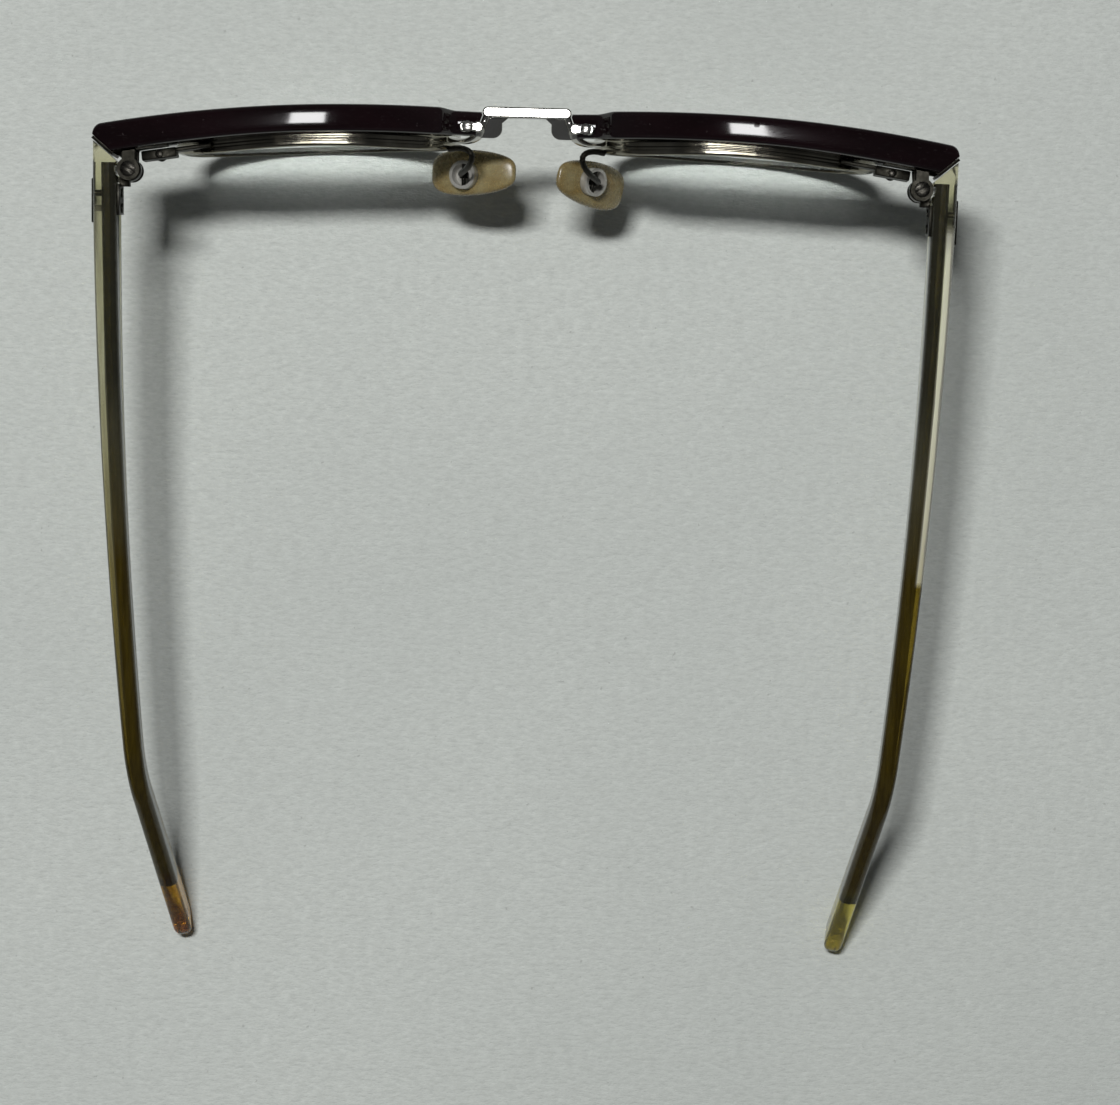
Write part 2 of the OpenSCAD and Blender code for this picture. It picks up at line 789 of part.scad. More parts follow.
// A strap from the foot down to the eyewire, or with a gap the notch for it in the brow
module strap(gap = 0) {
    at = edge_at(155, rim_out + seam + 0.64);
    from = [foot_x - 0.1, foot_y + 0.4, bar_z - bar_h + 0.5];
    to = [lens_x + at[0], wire_y(at[0], at[1]), lens_z + at[1]];
    route = [from, from + [0.4, 2.2, -1.6], to + [-0.6, 0.6, 3], to];
    along = [for (k = [0 : 8]) k / 8];
    skin([
        for (t = gap > 0 ? concat([-gap], along, [1 + gap]) : along)
            let (p = bezier(route, t),
                 way = unit(bezier(route, t + 0.01) - bezier(route, t - 0.01)))
            ring_at(p, way, [0, 1, 0], rounded_box(1.6 + 2 * gap, 0.9 + 2 * gap, 0.3 + gap))
    ]);
}

module bridge() {
    color([0.85, 0.85, 0.82])
        difference() {
            union() {
                half_bridge();
                right_side() half_bridge();
            }
            for (s = [-1, 1])
                translate([s * foot_screw_x, foot_y, neck_top - 1])
                    cylinder(d = foot_screw_d + seam, h = 3, $fn = 24);
        }
}

module brow_screw() {
    top = neck_top + foot_t + 2 * seam;
    translate([foot_screw_x, foot_y, 0])
        difference() {
            union() {
                translate([0, 0, neck_top - 2.4])
                    cylinder(d = foot_screw_d, h = 2.5 + foot_t + 2 * seam, $fn = 24);
                translate([0, 0, top])
                    cylinder(d = foot_head_d, h = 0.5, $fn = 24);
            }
            translate([-2, -0.15, top + 0.25])
                cube([4, 0.3, 1]);
        }
}

module brow_screws() {
    color([0.72, 0.72, 0.7]) {
        brow_screw();
        right_side() brow_screw();
    }
}

// Nose pad: its own frame starts at the pad's pin, X toward the arm, Z up the pad

module at_pad(out, back, lean, turn) {
    translate([out, lens_y + back, pad_z])
        rotate([0, 0, turn])
            rotate([0, -lean, 0])
                children();
}

module at_left_pad() {
    at_pad(left_out, left_back, left_lean, 0) children();
}

module at_right_pad() {
    right_side() at_pad(right_out, right_back, right_lean, right_turn) children();
}

module nose_pad(share, set) {
    steps = 12;
    middle = (0.5 - share) * pad_l;
    back = cup_base - pad_sink;
    color([0.72, 0.62, 0.36, 0.85])
        difference() {
            skin([
                for (k = [0 : steps])
                    let (t = -cos(lerp(7, 173, k / steps)),
                         swell = pow(1 - t * t, 0.28),
                         w = pad_w * swell * (1 - 0.13 * t),
                         h = pad_t * lerp(0.35, 1, swell) * swell,
                         z = middle + t * pad_l / 2)
                    [for (p = flat_round(h, w, 2.6, 16))
                        [p[0] - back - pad_t / 2, set - p[1], z]]
            ]);
            translate([-cup_base - seam, 0, 0])
                rotate([0, 90, 0])
                    cylinder(d = cup_d + 2 * seam, h = 5, $fn = ROUND_STEPS);
        }
}

module pad_cup() {
    color([0.78, 0.78, 0.76])
        rotate([0, 90, 0])
            difference() {
                translate([0, 0, -cup_base])
                    cylinder(d = cup_d, h = cup_h, $fn = ROUND_STEPS);
                translate([0, 0, -cup_floor])
                    cylinder(d = cup_d - 2 * cup_wall, h = 5, $fn = ROUND_STEPS);
                rotate([90, 0, 0])
                    translate([0, 0, -5])
                        cylinder(d = pad_pin_d + 0.04, h = 10, $fn = 24);
            }
}

module pad_pin() {
    color([0.5, 0.5, 0.48])
        rotate([90, 0, 0])
            translate([0, 0, -cup_d / 2 + 0.15])
                cylinder(d = pad_pin_d, h = cup_d - 0.3, $fn = 24);
}

module pad_arm(out, back, lean, turn) {
    away = [cos(lean) * cos(turn), cos(lean) * sin(turn), sin(lean)];
    pin = [out, lens_y + back, pad_z];
    edge = edge_at(157, rim_out - 0.3);
    root = [
        lens_x + edge[0],
        wire_y(edge[0], edge[1]) + eyewire_d / 2 + arm_d / 2 + seam,
        lens_z + edge[1]
    ];
    inward = [root[0] - 5.6, root[1] - 1.2, root[2] + 3.4];
    behind = [root[0] - 4.8, root[1] + 3.8, root[2] + 3];
    route = [root, inward, behind, pin + 4 * away, pin + 0.3 * away];
    color([0.25, 0.24, 0.22])
        difference() {
            union() {
                skin([
                    for (k = [0 : 20])
                        let (p = bezier(route, k / 20),
                             way = unit(bezier(route, k / 20 + 0.01) - bezier(route, k / 20 - 0.01)))
                        ring_at(p, way, [0.3, 1, 0], flat_round(arm_d, arm_d, 2, 8))
                ]);
                at_pad(out, back, lean, turn)
                    rotate([90, 0, 0])
                        translate([0, 0, -eye_w / 2])
                            cylinder(r = eye_r, h = eye_w, $fn = 24);
            }
            at_pad(out, back, lean, turn)
                rotate([90, 0, 0])
                    translate([0, 0, -3])
                        cylinder(d = pad_pin_d + 2 * pin_fit, h = 6, $fn = 24);
        }
}

stand() brow();  // brow_left
stand() right_side() brow();  // brow_right
stand() eyewire();  // eyewire_left
stand() right_side() eyewire();  // eyewire_right
stand() lens();  // lens_left
stand() right_side() lens();  // lens_right
stand() rim_lock_screws();
stand() bridge();
stand() brow_screws();
stand() pad_arm(left_out, left_back, left_lean, 0);  // pad_arm_left
stand() right_side() pad_arm(right_out, right_back, right_lean, right_turn);  // pad_arm_right
stand() at_left_pad() pad_cup();  // pad_cup_left
stand() at_right_pad() pad_cup();  // pad_cup_right
stand() at_left_pad() pad_pin();  // pad_pin_left
stand() at_right_pad() pad_pin();  // pad_pin_right
stand() at_left_pad() nose_pad(left_share, left_set);  // nose_pad_left
stand() at_right_pad() nose_pad(right_share, right_set);  // nose_pad_right
stand() hinge_front();  // hinge_front_left
stand() right_side() hinge_front();  // hinge_front_right
stand() hinge_temple();  // hinge_temple_left
stand() right_side() hinge_temple();  // hinge_temple_right
stand() hinge_screw();  // hinge_screw_left
stand() right_side() hinge_screw();  // hinge_screw_right
stand() temple();  // temple_left
stand() right_side() temple();  // temple_right
stand() temple_core();  // temple_core_left
stand() right_side() temple_core();  // temple_core_right
stand() temple_shield();  // temple_shield_left
stand() right_side() temple_shield();  // temple_shield_right
stand() hinge_rivets();  // hinge_rivets_left
stand() right_side() hinge_rivets();  // hinge_rivets_right
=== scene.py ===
import math

import bmesh
import bpy
from mathutils import Matrix, Vector


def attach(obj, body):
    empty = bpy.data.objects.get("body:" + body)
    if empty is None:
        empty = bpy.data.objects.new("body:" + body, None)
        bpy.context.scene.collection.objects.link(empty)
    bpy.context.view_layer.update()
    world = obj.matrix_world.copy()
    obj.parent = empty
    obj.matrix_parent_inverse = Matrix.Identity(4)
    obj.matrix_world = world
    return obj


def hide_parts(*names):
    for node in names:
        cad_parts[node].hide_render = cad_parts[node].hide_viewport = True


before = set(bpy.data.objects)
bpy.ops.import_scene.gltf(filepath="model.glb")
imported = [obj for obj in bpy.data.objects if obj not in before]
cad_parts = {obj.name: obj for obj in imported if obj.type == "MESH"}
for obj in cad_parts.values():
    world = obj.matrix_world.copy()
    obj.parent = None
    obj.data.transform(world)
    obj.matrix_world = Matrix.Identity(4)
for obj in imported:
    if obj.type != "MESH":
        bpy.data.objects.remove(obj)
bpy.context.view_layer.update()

# Sizes are in millimetres, in the upright frame that the front is drawn in:
# X across the face, Y back along the temples, lower rims at Z = 0.
MM = 0.001
LEAN = math.radians(2.0)
STAND_Y = -62.482
STAND_Z = -0.0495
STAND = (Matrix.Translation((0.0, STAND_Y * MM, STAND_Z * MM)) @ Matrix.Rotation(-LEAN, 4, "X")
         @ Matrix.Scale(MM, 4))


def link(obj):
    """The object, put into the scene."""
    bpy.context.scene.collection.objects.link(obj)
    return obj


def baked(obj):
    """The object with its modifiers applied."""
    graph = bpy.context.evaluated_depsgraph_get()
    graph.update()
    mesh = bpy.data.meshes.new_from_object(obj.evaluated_get(graph))
    obj.modifiers.clear()
    obj.data = mesh
    return obj


# Materials

# Where a colour mix takes its two colours and gives its result
COLOUR_A = 6
COLOUR_B = 7
COLOUR_OUT = 2


class Nodes:
    """A material's node tree, with short ways to add and join nodes."""

    def __init__(self, name):
        self.mat = bpy.data.materials.new(name)
        self.mat.use_nodes = True
        self.tree = self.mat.node_tree
        self.tree.nodes.clear()
        self.out = self.add("ShaderNodeOutputMaterial")
        self.shader = self.add("ShaderNodeBsdfPrincipled")
        self.join(self.shader.outputs[0], self.out.inputs["Surface"])
        coords = self.add("ShaderNodeTexCoord")
        self.place = self.add("ShaderNodeVectorMath", operation="SCALE")
        self.join(coords.outputs["Object"], self.place.inputs[0])
        self.place.inputs["Scale"].default_value = 1 / MM

    def add(self, kind, **settings):
        """A new node with its settings made."""
        n = self.tree.nodes.new(kind)
        for key, value in settings.items():
            setattr(n, key, value)
        return n

    def join(self, out, into):
        """A link from an output into an input."""
        self.tree.links.new(out, into)

    def feed(self, value, into):
        """A socket is joined, and anything else is set as the input's value."""
        if hasattr(value, "links"):
            self.join(value, into)
        else:
            into.default_value = value

    def noise(self, size, detail=3.0, rough=0.55, stretch=(1, 1, 1), seed=0.0):
        """Noise whose features are about size mm across, as a 0..1 socket."""
        mapping = self.add("ShaderNodeMapping")
        mapping.inputs["Scale"].default_value = stretch
        mapping.inputs["Location"].default_value = (seed * 7.3, seed * 3.1, seed * 5.7)
        self.join(self.place.outputs[0], mapping.inputs["Vector"])
        n = self.add("ShaderNodeTexNoise")
        n.inputs["Scale"].default_value = 1.0 / size
        n.inputs["Detail"].default_value = detail
        n.inputs["Roughness"].default_value = rough
        self.join(mapping.outputs[0], n.inputs["Vector"])
        return n.outputs["Fac"]

    def span(self, value, low, high, to_low=0.0, to_high=1.0):
        """A value from low to high, spread over to_low to to_high and held past its ends."""
        n = self.add("ShaderNodeMapRange", clamp=True)
        self.join(value, n.inputs["Value"])
        for name, v in (("From Min", low), ("From Max", high), ("To Min", to_low), ("To Max", to_high)):
            n.inputs[name].default_value = v
        return n.outputs["Result"]

    def math(self, operation, a, b=0.0):
        """Arithmetic on two values, as a socket."""
        n = self.add("ShaderNodeMath", operation=operation)
        self.feed(a, n.inputs[0])
        self.feed(b, n.inputs[1])
        return n.outputs[0]

    def blend(self, share, a, b):
        """Colour a going over to b by share."""
        n = self.add("ShaderNodeMix", data_type="RGBA")
        self.feed(share, n.inputs[0])
        self.feed(a, n.inputs[COLOUR_A])
        self.feed(b, n.inputs[COLOUR_B])
        return n.outputs[COLOUR_OUT]

    def bump(self, height, distance, strength):
        """Relief on the surface, distance mm high."""
        n = self.add("ShaderNodeBump")
        n.inputs["Strength"].default_value = strength
        n.inputs["Distance"].default_value = distance * MM
        self.join(height, n.inputs["Height"])
        self.join(n.outputs[0], self.shader.inputs["Normal"])

    def set(self, **values):
        """The shader's inputs by name, with _ for a space."""
        for name, value in values.items():
            self.feed(value, self.shader.inputs[name.replace("_", " ")])


def rgb(r, g, b):
    """A solid colour."""
    return (r, g, b, 1.0)


def metal(name, colour, dull, rough, worn=0.5, shine=1.0):
    """Rolled or turned metal: patches of tarnish, fine grain and small pits."""
    m = Nodes(name)
    patches = m.span(m.noise(2.6, 4.0, 0.6), 0.35, 0.72)
    fine = m.noise(0.35, 3.0, 0.6, stretch=(1, 1, 2.4), seed=2.0)
    pits = m.span(m.noise(0.22, 2.0, 0.5, seed=5.0), 0.66, 0.74)
    tint = m.blend(m.math("MULTIPLY", patches, worn), rgb(*colour), rgb(*dull))
    tint = m.blend(m.math("MULTIPLY", pits, 0.35), tint, rgb(*(0.5 * c for c in dull)))
    m.set(Base_Color=tint, Metallic=shine,
          Roughness=m.math("ADD", m.span(fine, 0.3, 0.7, rough * 0.75, rough * 1.3),
                           m.math("MULTIPLY", patches, 0.12)))
    m.bump(m.math("SUBTRACT", fine, m.math("MULTIPLY", pits, 0.8)), 0.005, 0.4)
    return m.mat


PLASTIC_IOR = 1.49
BROW_CHIP = (-36.24, -65.5, 43.0)


def brow_acetate():
    """Near-black burgundy acetate under a polished skin, with fine scratches and a few nicks."""
    m = Nodes("brow_acetate")
    cloud = m.span(m.noise(6.0, 3.0, 0.6, stretch=(0.4, 1, 1)), 0.3, 0.7)
    scratch = m.span(m.noise(0.2, 2.0, 0.5, stretch=(0.2, 1, 1), seed=8.0), 0.62, 0.72)
    nick = m.span(m.noise(0.9, 3.0, 0.7, seed=11.0), 0.68, 0.72)
    tint = m.blend(cloud, rgb(0.0028, 0.0013, 0.0016), rgb(0.0058, 0.0022, 0.003))
    tint = m.blend(m.math("MULTIPLY", scratch, 0.12), tint, rgb(0.05, 0.042, 0.042))
    tint = m.blend(m.math("MULTIPLY", nick, 0.3), tint, rgb(0.06, 0.05, 0.05))
    m.set(Base_Color=tint, IOR=PLASTIC_IOR, Specular_IOR_Level=0.0, Coat_Roughness=0.06,
          Roughness=m.math("ADD", m.span(m.noise(1.4, 4.0, 0.65, seed=3.0), 0.42, 0.75, 0.3, 0.42),
                           m.math("MULTIPLY", scratch, 0.15)))
    wave = m.math("MULTIPLY", m.noise(2.2, 2.0, 0.5, seed=4.0), 1.6)
    away = m.add("ShaderNodeVectorMath", operation="DISTANCE")
    m.join(m.place.outputs[0], away.inputs[0])
    away.inputs[1].default_value = BROW_CHIP
    uneven = m.math("MULTIPLY", m.noise(0.5, 2.0, 0.6, seed=6.0), 0.5)
    ragged = m.math("ADD", away.outputs["Value"], uneven)
    chip = m.span(ragged, 0.6, 0.8, 1.0, 0.0)
    m.set(Coat_Weight=m.math("SUBTRACT", 1.0, m.math("MULTIPLY", chip, 0.85)))
    marks = m.math("ADD", m.math("MULTIPLY", scratch, 0.2), nick)
    marks = m.math("ADD", marks, m.math("MULTIPLY", chip, 6.0))
    m.bump(m.math("SUBTRACT", wave, marks), 0.012, 0.6)
    return m.mat


# Places along the temples, in millimetres back from the origin
TEMPLE_START = -57.7
LEAF_END = -50.0
BROWN_START = -24.0
BROWN_FULL = 6.0
# Where the painted highlight along the outer top edge ends sharply, and where its slow fade is over
HIGHLIGHT_END = 6.3
HIGHLIGHT_FADED = 34.0
AMBER_START = 57.5

# The temples' middle line from above, as start, slope and curve, and their top edge from the side
TEMPLE_MIDDLE = 66.35
TEMPLE_TOE = 0.014
TEMPLE_CURVE = 0.000505
TEMPLE_TOP = 41.3
TEMPLE_FALL = 0.1234


def temple_acetate():
    """Clear olive plastic that turns brown toward the bend and amber past the core's end.

    It has a painted highlight along its outer top edge, near white on the right temple, and it is cream
    at the mitre.
    """
    m = Nodes("temple_acetate")
    spot = m.add("ShaderNodeSeparateXYZ")
    m.join(m.place.outputs[0], spot.inputs[0])
    along = spot.outputs["Y"]
    run = m.math("SUBTRACT", along, TEMPLE_START)
    bow = m.math("MULTIPLY", run, m.math("ADD", m.math("MULTIPLY", run, TEMPLE_CURVE), TEMPLE_TOE))
    aside = m.math("ADD", m.math("ABSOLUTE", spot.outputs["X"]), bow)
    outward = m.math("SUBTRACT", aside, TEMPLE_MIDDLE)
    cloud = m.span(m.noise(7.0, 4.0, 0.6, stretch=(1, 0.35, 1)), 0.3, 0.7)
    streak = m.span(m.noise(1.1, 3.0, 0.6, stretch=(1.6, 0.08, 1), seed=9.0), 0.35, 0.65)
    height = m.math("ADD", spot.outputs["Z"], m.math("MULTIPLY", run, TEMPLE_FALL))
    lid = m.span(height, TEMPLE_TOP - 1.7, TEMPLE_TOP - 0.9)
    # The outer top edge behind the leaf, which carries a painted highlight
    outer = m.math("MULTIPLY", m.span(outward, 0.3, 0.7), m.span(along, LEAF_END - 1.0, LEAF_END + 1.0))
    outer = m.math("MULTIPLY", outer, lid)
    # The right temple's painted highlight is near white and ends sharply; the left one's fades slowly
    right = m.span(spot.outputs["X"], -20.0, 20.0, 1.0, 0.0)
    back = m.span(along, BROWN_START, BROWN_FULL)
    slow = m.span(along, BROWN_START, HIGHLIGHT_FADED)
    sharp = m.span(along, HIGHLIGHT_END - 0.5, HIGHLIGHT_END + 0.5)
    highlight_browning = m.math("ADD", slow, m.math("MULTIPLY", right, m.math("SUBTRACT", sharp, slow)))
    back = m.math("ADD", back, m.math("MULTIPLY", outer, m.math("SUBTRACT", highlight_browning, back)))
    amber = m.span(along, AMBER_START - 0.8, AMBER_START + 0.8)
    olive = m.blend(cloud, rgb(0.84, 0.82, 0.56), rgb(0.68, 0.65, 0.38))
    olive = m.blend(m.math("MULTIPLY", streak, 0.3), olive, rgb(0.34, 0.3, 0.12))
    rear = m.blend(streak, rgb(0.27, 0.19, 0.02), rgb(0.15, 0.1, 0.008))
    # Painted highlight, near white, along the right temple's outer top edge
    olive = m.blend(m.math("MULTIPLY", right, outer), olive, rgb(0.95, 0.93, 0.78))
    tint = m.blend(back, olive, rear)
    tint = m.blend(m.span(along, TEMPLE_START - 1.5, TEMPLE_START + 1.5), rgb(0.78, 0.74, 0.52), tint)
    left = m.blend(streak, rgb(0.66, 0.38, 0.012), rgb(0.32, 0.11, 0.003))
    tip = m.blend(right, left, rgb(0.62, 0.53, 0.1))
    tint = m.blend(amber, tint, tip)
    # The painted highlight edge is also made less clear, so that it shows paler
    highlight_solid = m.math("ADD", m.math("MULTIPLY", right, 0.14), 0.125)
    solid = m.math("ADD", m.math("MULTIPLY", outer, highlight_solid), 0.015)
    solid = m.math("ADD", solid, m.math("MULTIPLY", back, m.math("SUBTRACT", 0.11, solid)))
    solid = m.math("ADD", solid, m.math("MULTIPLY", amber, m.math("SUBTRACT", 0.02, solid)))
    m.set(Base_Color=tint, IOR=PLASTIC_IOR, Transmission_Weight=m.math("SUBTRACT", 1.0, solid),
          Roughness=m.span(m.noise(0.8, 4.0, 0.6, seed=2.0), 0.3, 0.7, 0.05, 0.16))
    m.bump(m.noise(0.9, 3.0, 0.6, seed=6.0), 0.01, 0.3)
    return m.mat


def pad_plastic():
    """Yellowed, half-clear plastic, browner in patches and with small dark specks."""
    m = Nodes("pad_plastic")
    cloud = m.span(m.noise(2.6, 4.0, 0.6), 0.3, 0.7)
    specks = m.span(m.noise(0.35, 2.0, 0.6, seed=7.0), 0.6, 0.75)
    tint = m.blend(cloud, rgb(0.36, 0.31, 0.165), rgb(0.27, 0.19, 0.07))
    tint = m.blend(m.math("MULTIPLY", specks, 0.3), tint, rgb(0.16, 0.1, 0.04))
    m.set(Base_Color=tint, Transmission_Weight=0.55, IOR=1.46,
          Roughness=m.span(m.noise(0.6, 3.0, 0.6, seed=2.0), 0.3, 0.7, 0.2, 0.36))
    m.bump(m.noise(0.5, 3.0, 0.6, seed=3.0), 0.012, 0.35)
    return m.mat


def lens_glass():
    """Clear lens with faint smears, which casts hardly any shadow."""
    m = Nodes("lens_glass")
    smear = m.span(m.noise(4.0, 4.0, 0.6), 0.45, 0.8)
    m.set(Base_Color=m.blend(smear, rgb(0.97, 0.985, 0.975), rgb(0.93, 0.95, 0.94)),
          Transmission_Weight=1.0, IOR=1.14, Roughness=m.span(smear, 0.0, 1.0, 0.0, 0.04))
    rays = m.add("ShaderNodeLightPath")
    clear = m.add("ShaderNodeBsdfTransparent")
    clear.inputs["Color"].default_value = rgb(0.9, 0.92, 0.91)
    mix = m.add("ShaderNodeMixShader")
    m.join(rays.outputs["Is Shadow Ray"], mix.inputs["Fac"])
    m.join(m.shader.outputs[0], mix.inputs[1])
    m.join(clear.outputs[0], mix.inputs[2])
    m.join(mix.outputs[0], m.out.inputs["Surface"])
    return m.mat


MATERIALS = {
    "brow_acetate": brow_acetate(),
    "temple_acetate": temple_acetate(),
    "pad_plastic": pad_plastic(),
    "lens_glass": lens_glass(),
    "eyewire_metal": metal("eyewire_metal", (0.3, 0.285, 0.235), (0.12, 0.105, 0.07), 0.09, worn=0.7),
    "screw_metal": metal("screw_metal", (0.06, 0.057, 0.05), (0.03, 0.028, 0.022), 0.22),
    "bridge_metal": metal("bridge_metal", (0.6, 0.59, 0.56), (0.36, 0.35, 0.31), 0.12),
    "pad_arm_metal": metal("pad_arm_metal", (0.04, 0.037, 0.031), (0.015, 0.013, 0.011), 0.4),
    "pad_cup_metal": metal("pad_cup_metal", (0.55, 0.54, 0.5), (0.24, 0.225, 0.19), 0.28, shine=0.6),
    "hinge_metal": metal("hinge_metal", (0.045, 0.043, 0.036), (0.02, 0.019, 0.014), 0.3, worn=0.8),
    "core_metal": metal("core_metal", (0.014, 0.012, 0.005), (0.006, 0.006, 0.003), 0.5),
}


# Shapes, in millimetres

LENS_W = 45.0
LENS_H = 37.2
LENS_GAP = 23.0
LENS_RADIUS = 98.0
LENS_T = 2.0
UPPER_SQUARE = 2.7
LOWER_SQUARE = 2.15
NASAL_CUT = 0.05
NASAL_CORNER = math.radians(222)
RIM_OUT = 0.7
GROOVE_D = 0.5
WIRE_D = 2.4
RIM_BOW = 1.3
SEAM = 0.06
WRAP = math.radians(2.6)
LENS_X = (LENS_GAP + LENS_W) / 2
LENS_Y = -4.0
LENS_Z = RIM_OUT + LENS_H / 2
BALL_X = -LENS_RADIUS * math.sin(WRAP)
BALL_Y = LENS_RADIUS * math.cos(WRAP)

END_X = LENS_GAP / 2 + LENS_W + 11.8
BROW_Y = LENS_Y - 2
BROW_D = 4.3
BROW_END_D = 4.7
BROW_RADIUS = 240.0
BROW_TOP_Z = LENS_Z + LENS_H / 2 + 5.2
BROW_PEAK_X = LENS_X + 3.5
BROW_END_TOP = BROW_TOP_Z - 0.7
BROW_END_Z = BROW_END_TOP - 9.8
BROW_LOW_Z = LENS_Z + LENS_H / 2 - 1.4
BROW_CORNER = 1.3
BROW_GAP = 0.12
BROW_CROWN = 0.1
BROW_ROUND = 0.6
NECK_ROUND = 0.5
NECK_CROWN_TIMES = 4
INNER_FLATTER = 1.5
INNER_TOP_FALL = 4.6
INNER_LOW_FALL = 3.6
CHEEK_X = LENS_X + LENS_W / 2 - 0.5
CHEEK_DROP = BROW_LOW_Z - LENS_Z - 0.34 * LENS_H
NECK_END_X = LENS_GAP / 2 - 0.5
NECK_RAMP = 3.0
NECK_SETBACK = 0.3
NECK_D = BROW_D - 0.5
NECK_H = 3.2

BAR_L = 12.4
BAR_D = 1.75
BAR_Z = LENS_Z + 0.48 * LENS_H
BAR_Y = BROW_Y - 0.8
BAR_H = 2.2
NECK_TOP = BAR_Z - 0.3
LEG_W = 1.1
LEG_L = 3.4
LEG_TURN = math.radians(-20)
FOOT_X = BAR_L / 2 + 1.3
FOOT_Y = BAR_Y + 3.3
FOOT_W = 1.5
FOOT_T = 0.6

TEMPLE_L = 96.5
TEMPLE_FRONT_W = 3.9
TEMPLE_REAR_W = 3.0
TEMPLE_FRONT_H = 8.0
TEMPLE_REAR_H = 4.8
TEMPLE_BOW = 4.7
TEMPLE_SLOPE = math.radians(3.661)
TOE_IN = math.radians(0.8)
TIP_L = 39.0
TIP_H = 5.6
TIP_R = TIP_H / 2
TIP_DROP = math.radians(38)
TIP_TURN = math.radians(5)
BEND_R = 14.0
BARREL_D = 3.6
BARREL_H = 7.0
PIN_GAP = 1.7
PIN_BACK = 1.1
PIN_X = END_X - TEMPLE_FRONT_W - PIN_GAP
SEAT_D = 0.3
LEAF_T = 0.5
MITRE_T = 0.45
MITRE_GAP = 0.15
MITRE_ANGLE = math.radians(40)
MITRE_BACK = 1.65
SWING_GAP = 0.35
LEAF_Y = BARREL_D / 2 + 0.45
LEAF_L = 4.9
LEAF_H = 6.0
PLATE_SINK = 0.15
SEAT_INNER = 1.2
BROW_LEAF_L = 6
BROW_LEAF_H = 3.8
BROW_LEAF_LOW = 0.8
RIVET_Y = LEAF_Y + 1.4
RIVET_PITCH = 2.4
SHIELD_L = 7.0
SHIELD_H = 3.4

PAD_L = 15.0
PAD_W = 7.4
PAD_T = 2.8
PAD_Z = 21.6
CUP_D = 4.6
CUP_BASE = 1.4
PAD_SINK = 0.9
PADS = {
    "left": dict(out=10.2, back=7.2, lean=66, turn=0, share=0.44, across=-0.5),
    "right": dict(out=10.9, back=7.8, lean=46, turn=11, share=0.58, across=0.3),
}


def lerp(a, b, t):
    """The value at share t of the way from a to b."""
    return a + (b - a) * t


def ease(t):
    """A share from 0 to 1 that starts and ends slowly."""
    t = min(1.0, max(0.0, t))
    return t * t * (3 - 2 * t)


def power(v, e):
    """The size of v raised to e, with the sign of v."""
    return math.copysign(abs(v) ** e, v)


# The lens outline and curve

def outline_at(a):
    """Point of the lens outline at angle a, around the lens's centre."""
    square = lerp(LOWER_SQUARE, UPPER_SQUARE, ease(0.5 + math.sin(a) / 2))
    x = abs(math.cos(a)) / (LENS_W / 2)
    z = abs(math.sin(a)) / (LENS_H / 2)
    r = (x ** square + z ** square) ** (-1 / square)
    r *= 1 - NASAL_CUT * max(0.0, math.cos(a - NASAL_CORNER)) ** 8
    return Vector((r * math.cos(a), r * math.sin(a)))


def edge_at(a, out):
    """Point of the lens outline grown by out, at angle a."""
    step = math.radians(0.5)
    t = outline_at(a + step) - outline_at(a - step)
    return outline_at(a) + out * Vector((t.y, -t.x)).normalized()


def ball_y(x, z, radius):
    """Front surface of the lens's ball at a point beside the lens's centre."""
    return LENS_Y + BALL_Y - math.sqrt(radius ** 2 - (x - BALL_X) ** 2 - z * z)


def rim_bow(z):
    """How far the upper rim bows back behind the brow, at a height above the lens's centre."""
    return RIM_BOW * ease(z / (LENS_H / 2))


def around(steps):
    """Angles spaced evenly round a circle."""
    return [2 * math.pi * k / steps for k in range(steps)]


# Mesh helpers

# Height of a cut that passes through everything
TALL = 80

# Edges that bend more than these are rounded, or shaded as sharp
ROUNDED_ANGLE = math.radians(38)
SHARP_ANGLE = math.radians(42)


def mesh_object(name, verts, faces):
    """A mesh object in the scene, its faces turned outward."""
    mesh = bpy.data.meshes.new(name)
    mesh.from_pydata([tuple(v) for v in verts], [], faces)
    bm = bmesh.new()
    bm.from_mesh(mesh)
    bmesh.ops.recalc_face_normals(bm, faces=bm.faces)
    bm.to_mesh(mesh)
    bm.free()
    return link(bpy.data.objects.new(name, mesh))


def loft(name, rings, loop=False):
    """A solid through rings of points, closed at its ends or joined into a loop."""
    n = len(rings[0])
    m = len(rings)
    faces = [
        (i * n + j, i * n + (j + 1) % n, (i + 1) % m * n + (j + 1) % n, (i + 1) % m * n + j)
        for i in range(m if loop else m - 1) for j in range(n)
    ]
    if not loop:
        faces.append(tuple(range(n)))
        faces.append(tuple((m - 1) * n + j for j in range(n)))
    return mesh_object(name, [p for r in rings for p in r], faces)


def box(at, low, size):
    """A block in the frame of at, from its lowest corner."""
    corners = [
        at @ Vector((low[0] + i * size[0], low[1] + j * size[1], low[2] + k * size[2]))
        for i in (0, 1) for j in (0, 1) for k in (0, 1)
    ]
    faces = [(0, 1, 3, 2), (4, 6, 7, 5), (0, 4, 5, 1), (2, 3, 7, 6), (0, 2, 6, 4), (1, 5, 7, 3)]
    return mesh_object("tool", corners, faces)


def rod(at, radius, low, high, steps=64):
    """A round bar along the local Z of at."""
    rings = [
        [at @ Vector((radius * math.cos(a), radius * math.sin(a), z)) for a in around(steps)]
        for z in (low, high)
    ]
    return loft("tool", rings)


def carve(obj, tools, operation="DIFFERENCE"):
    """The object cut by, or joined with, each tool in turn. The tools are used up."""
    for tool in tools:
        cut = obj.modifiers.new("carve", "BOOLEAN")
        cut.operation = operation
        cut.solver = "EXACT"
        cut.object = tool
        baked(obj)
        bpy.data.objects.remove(tool)
    return obj


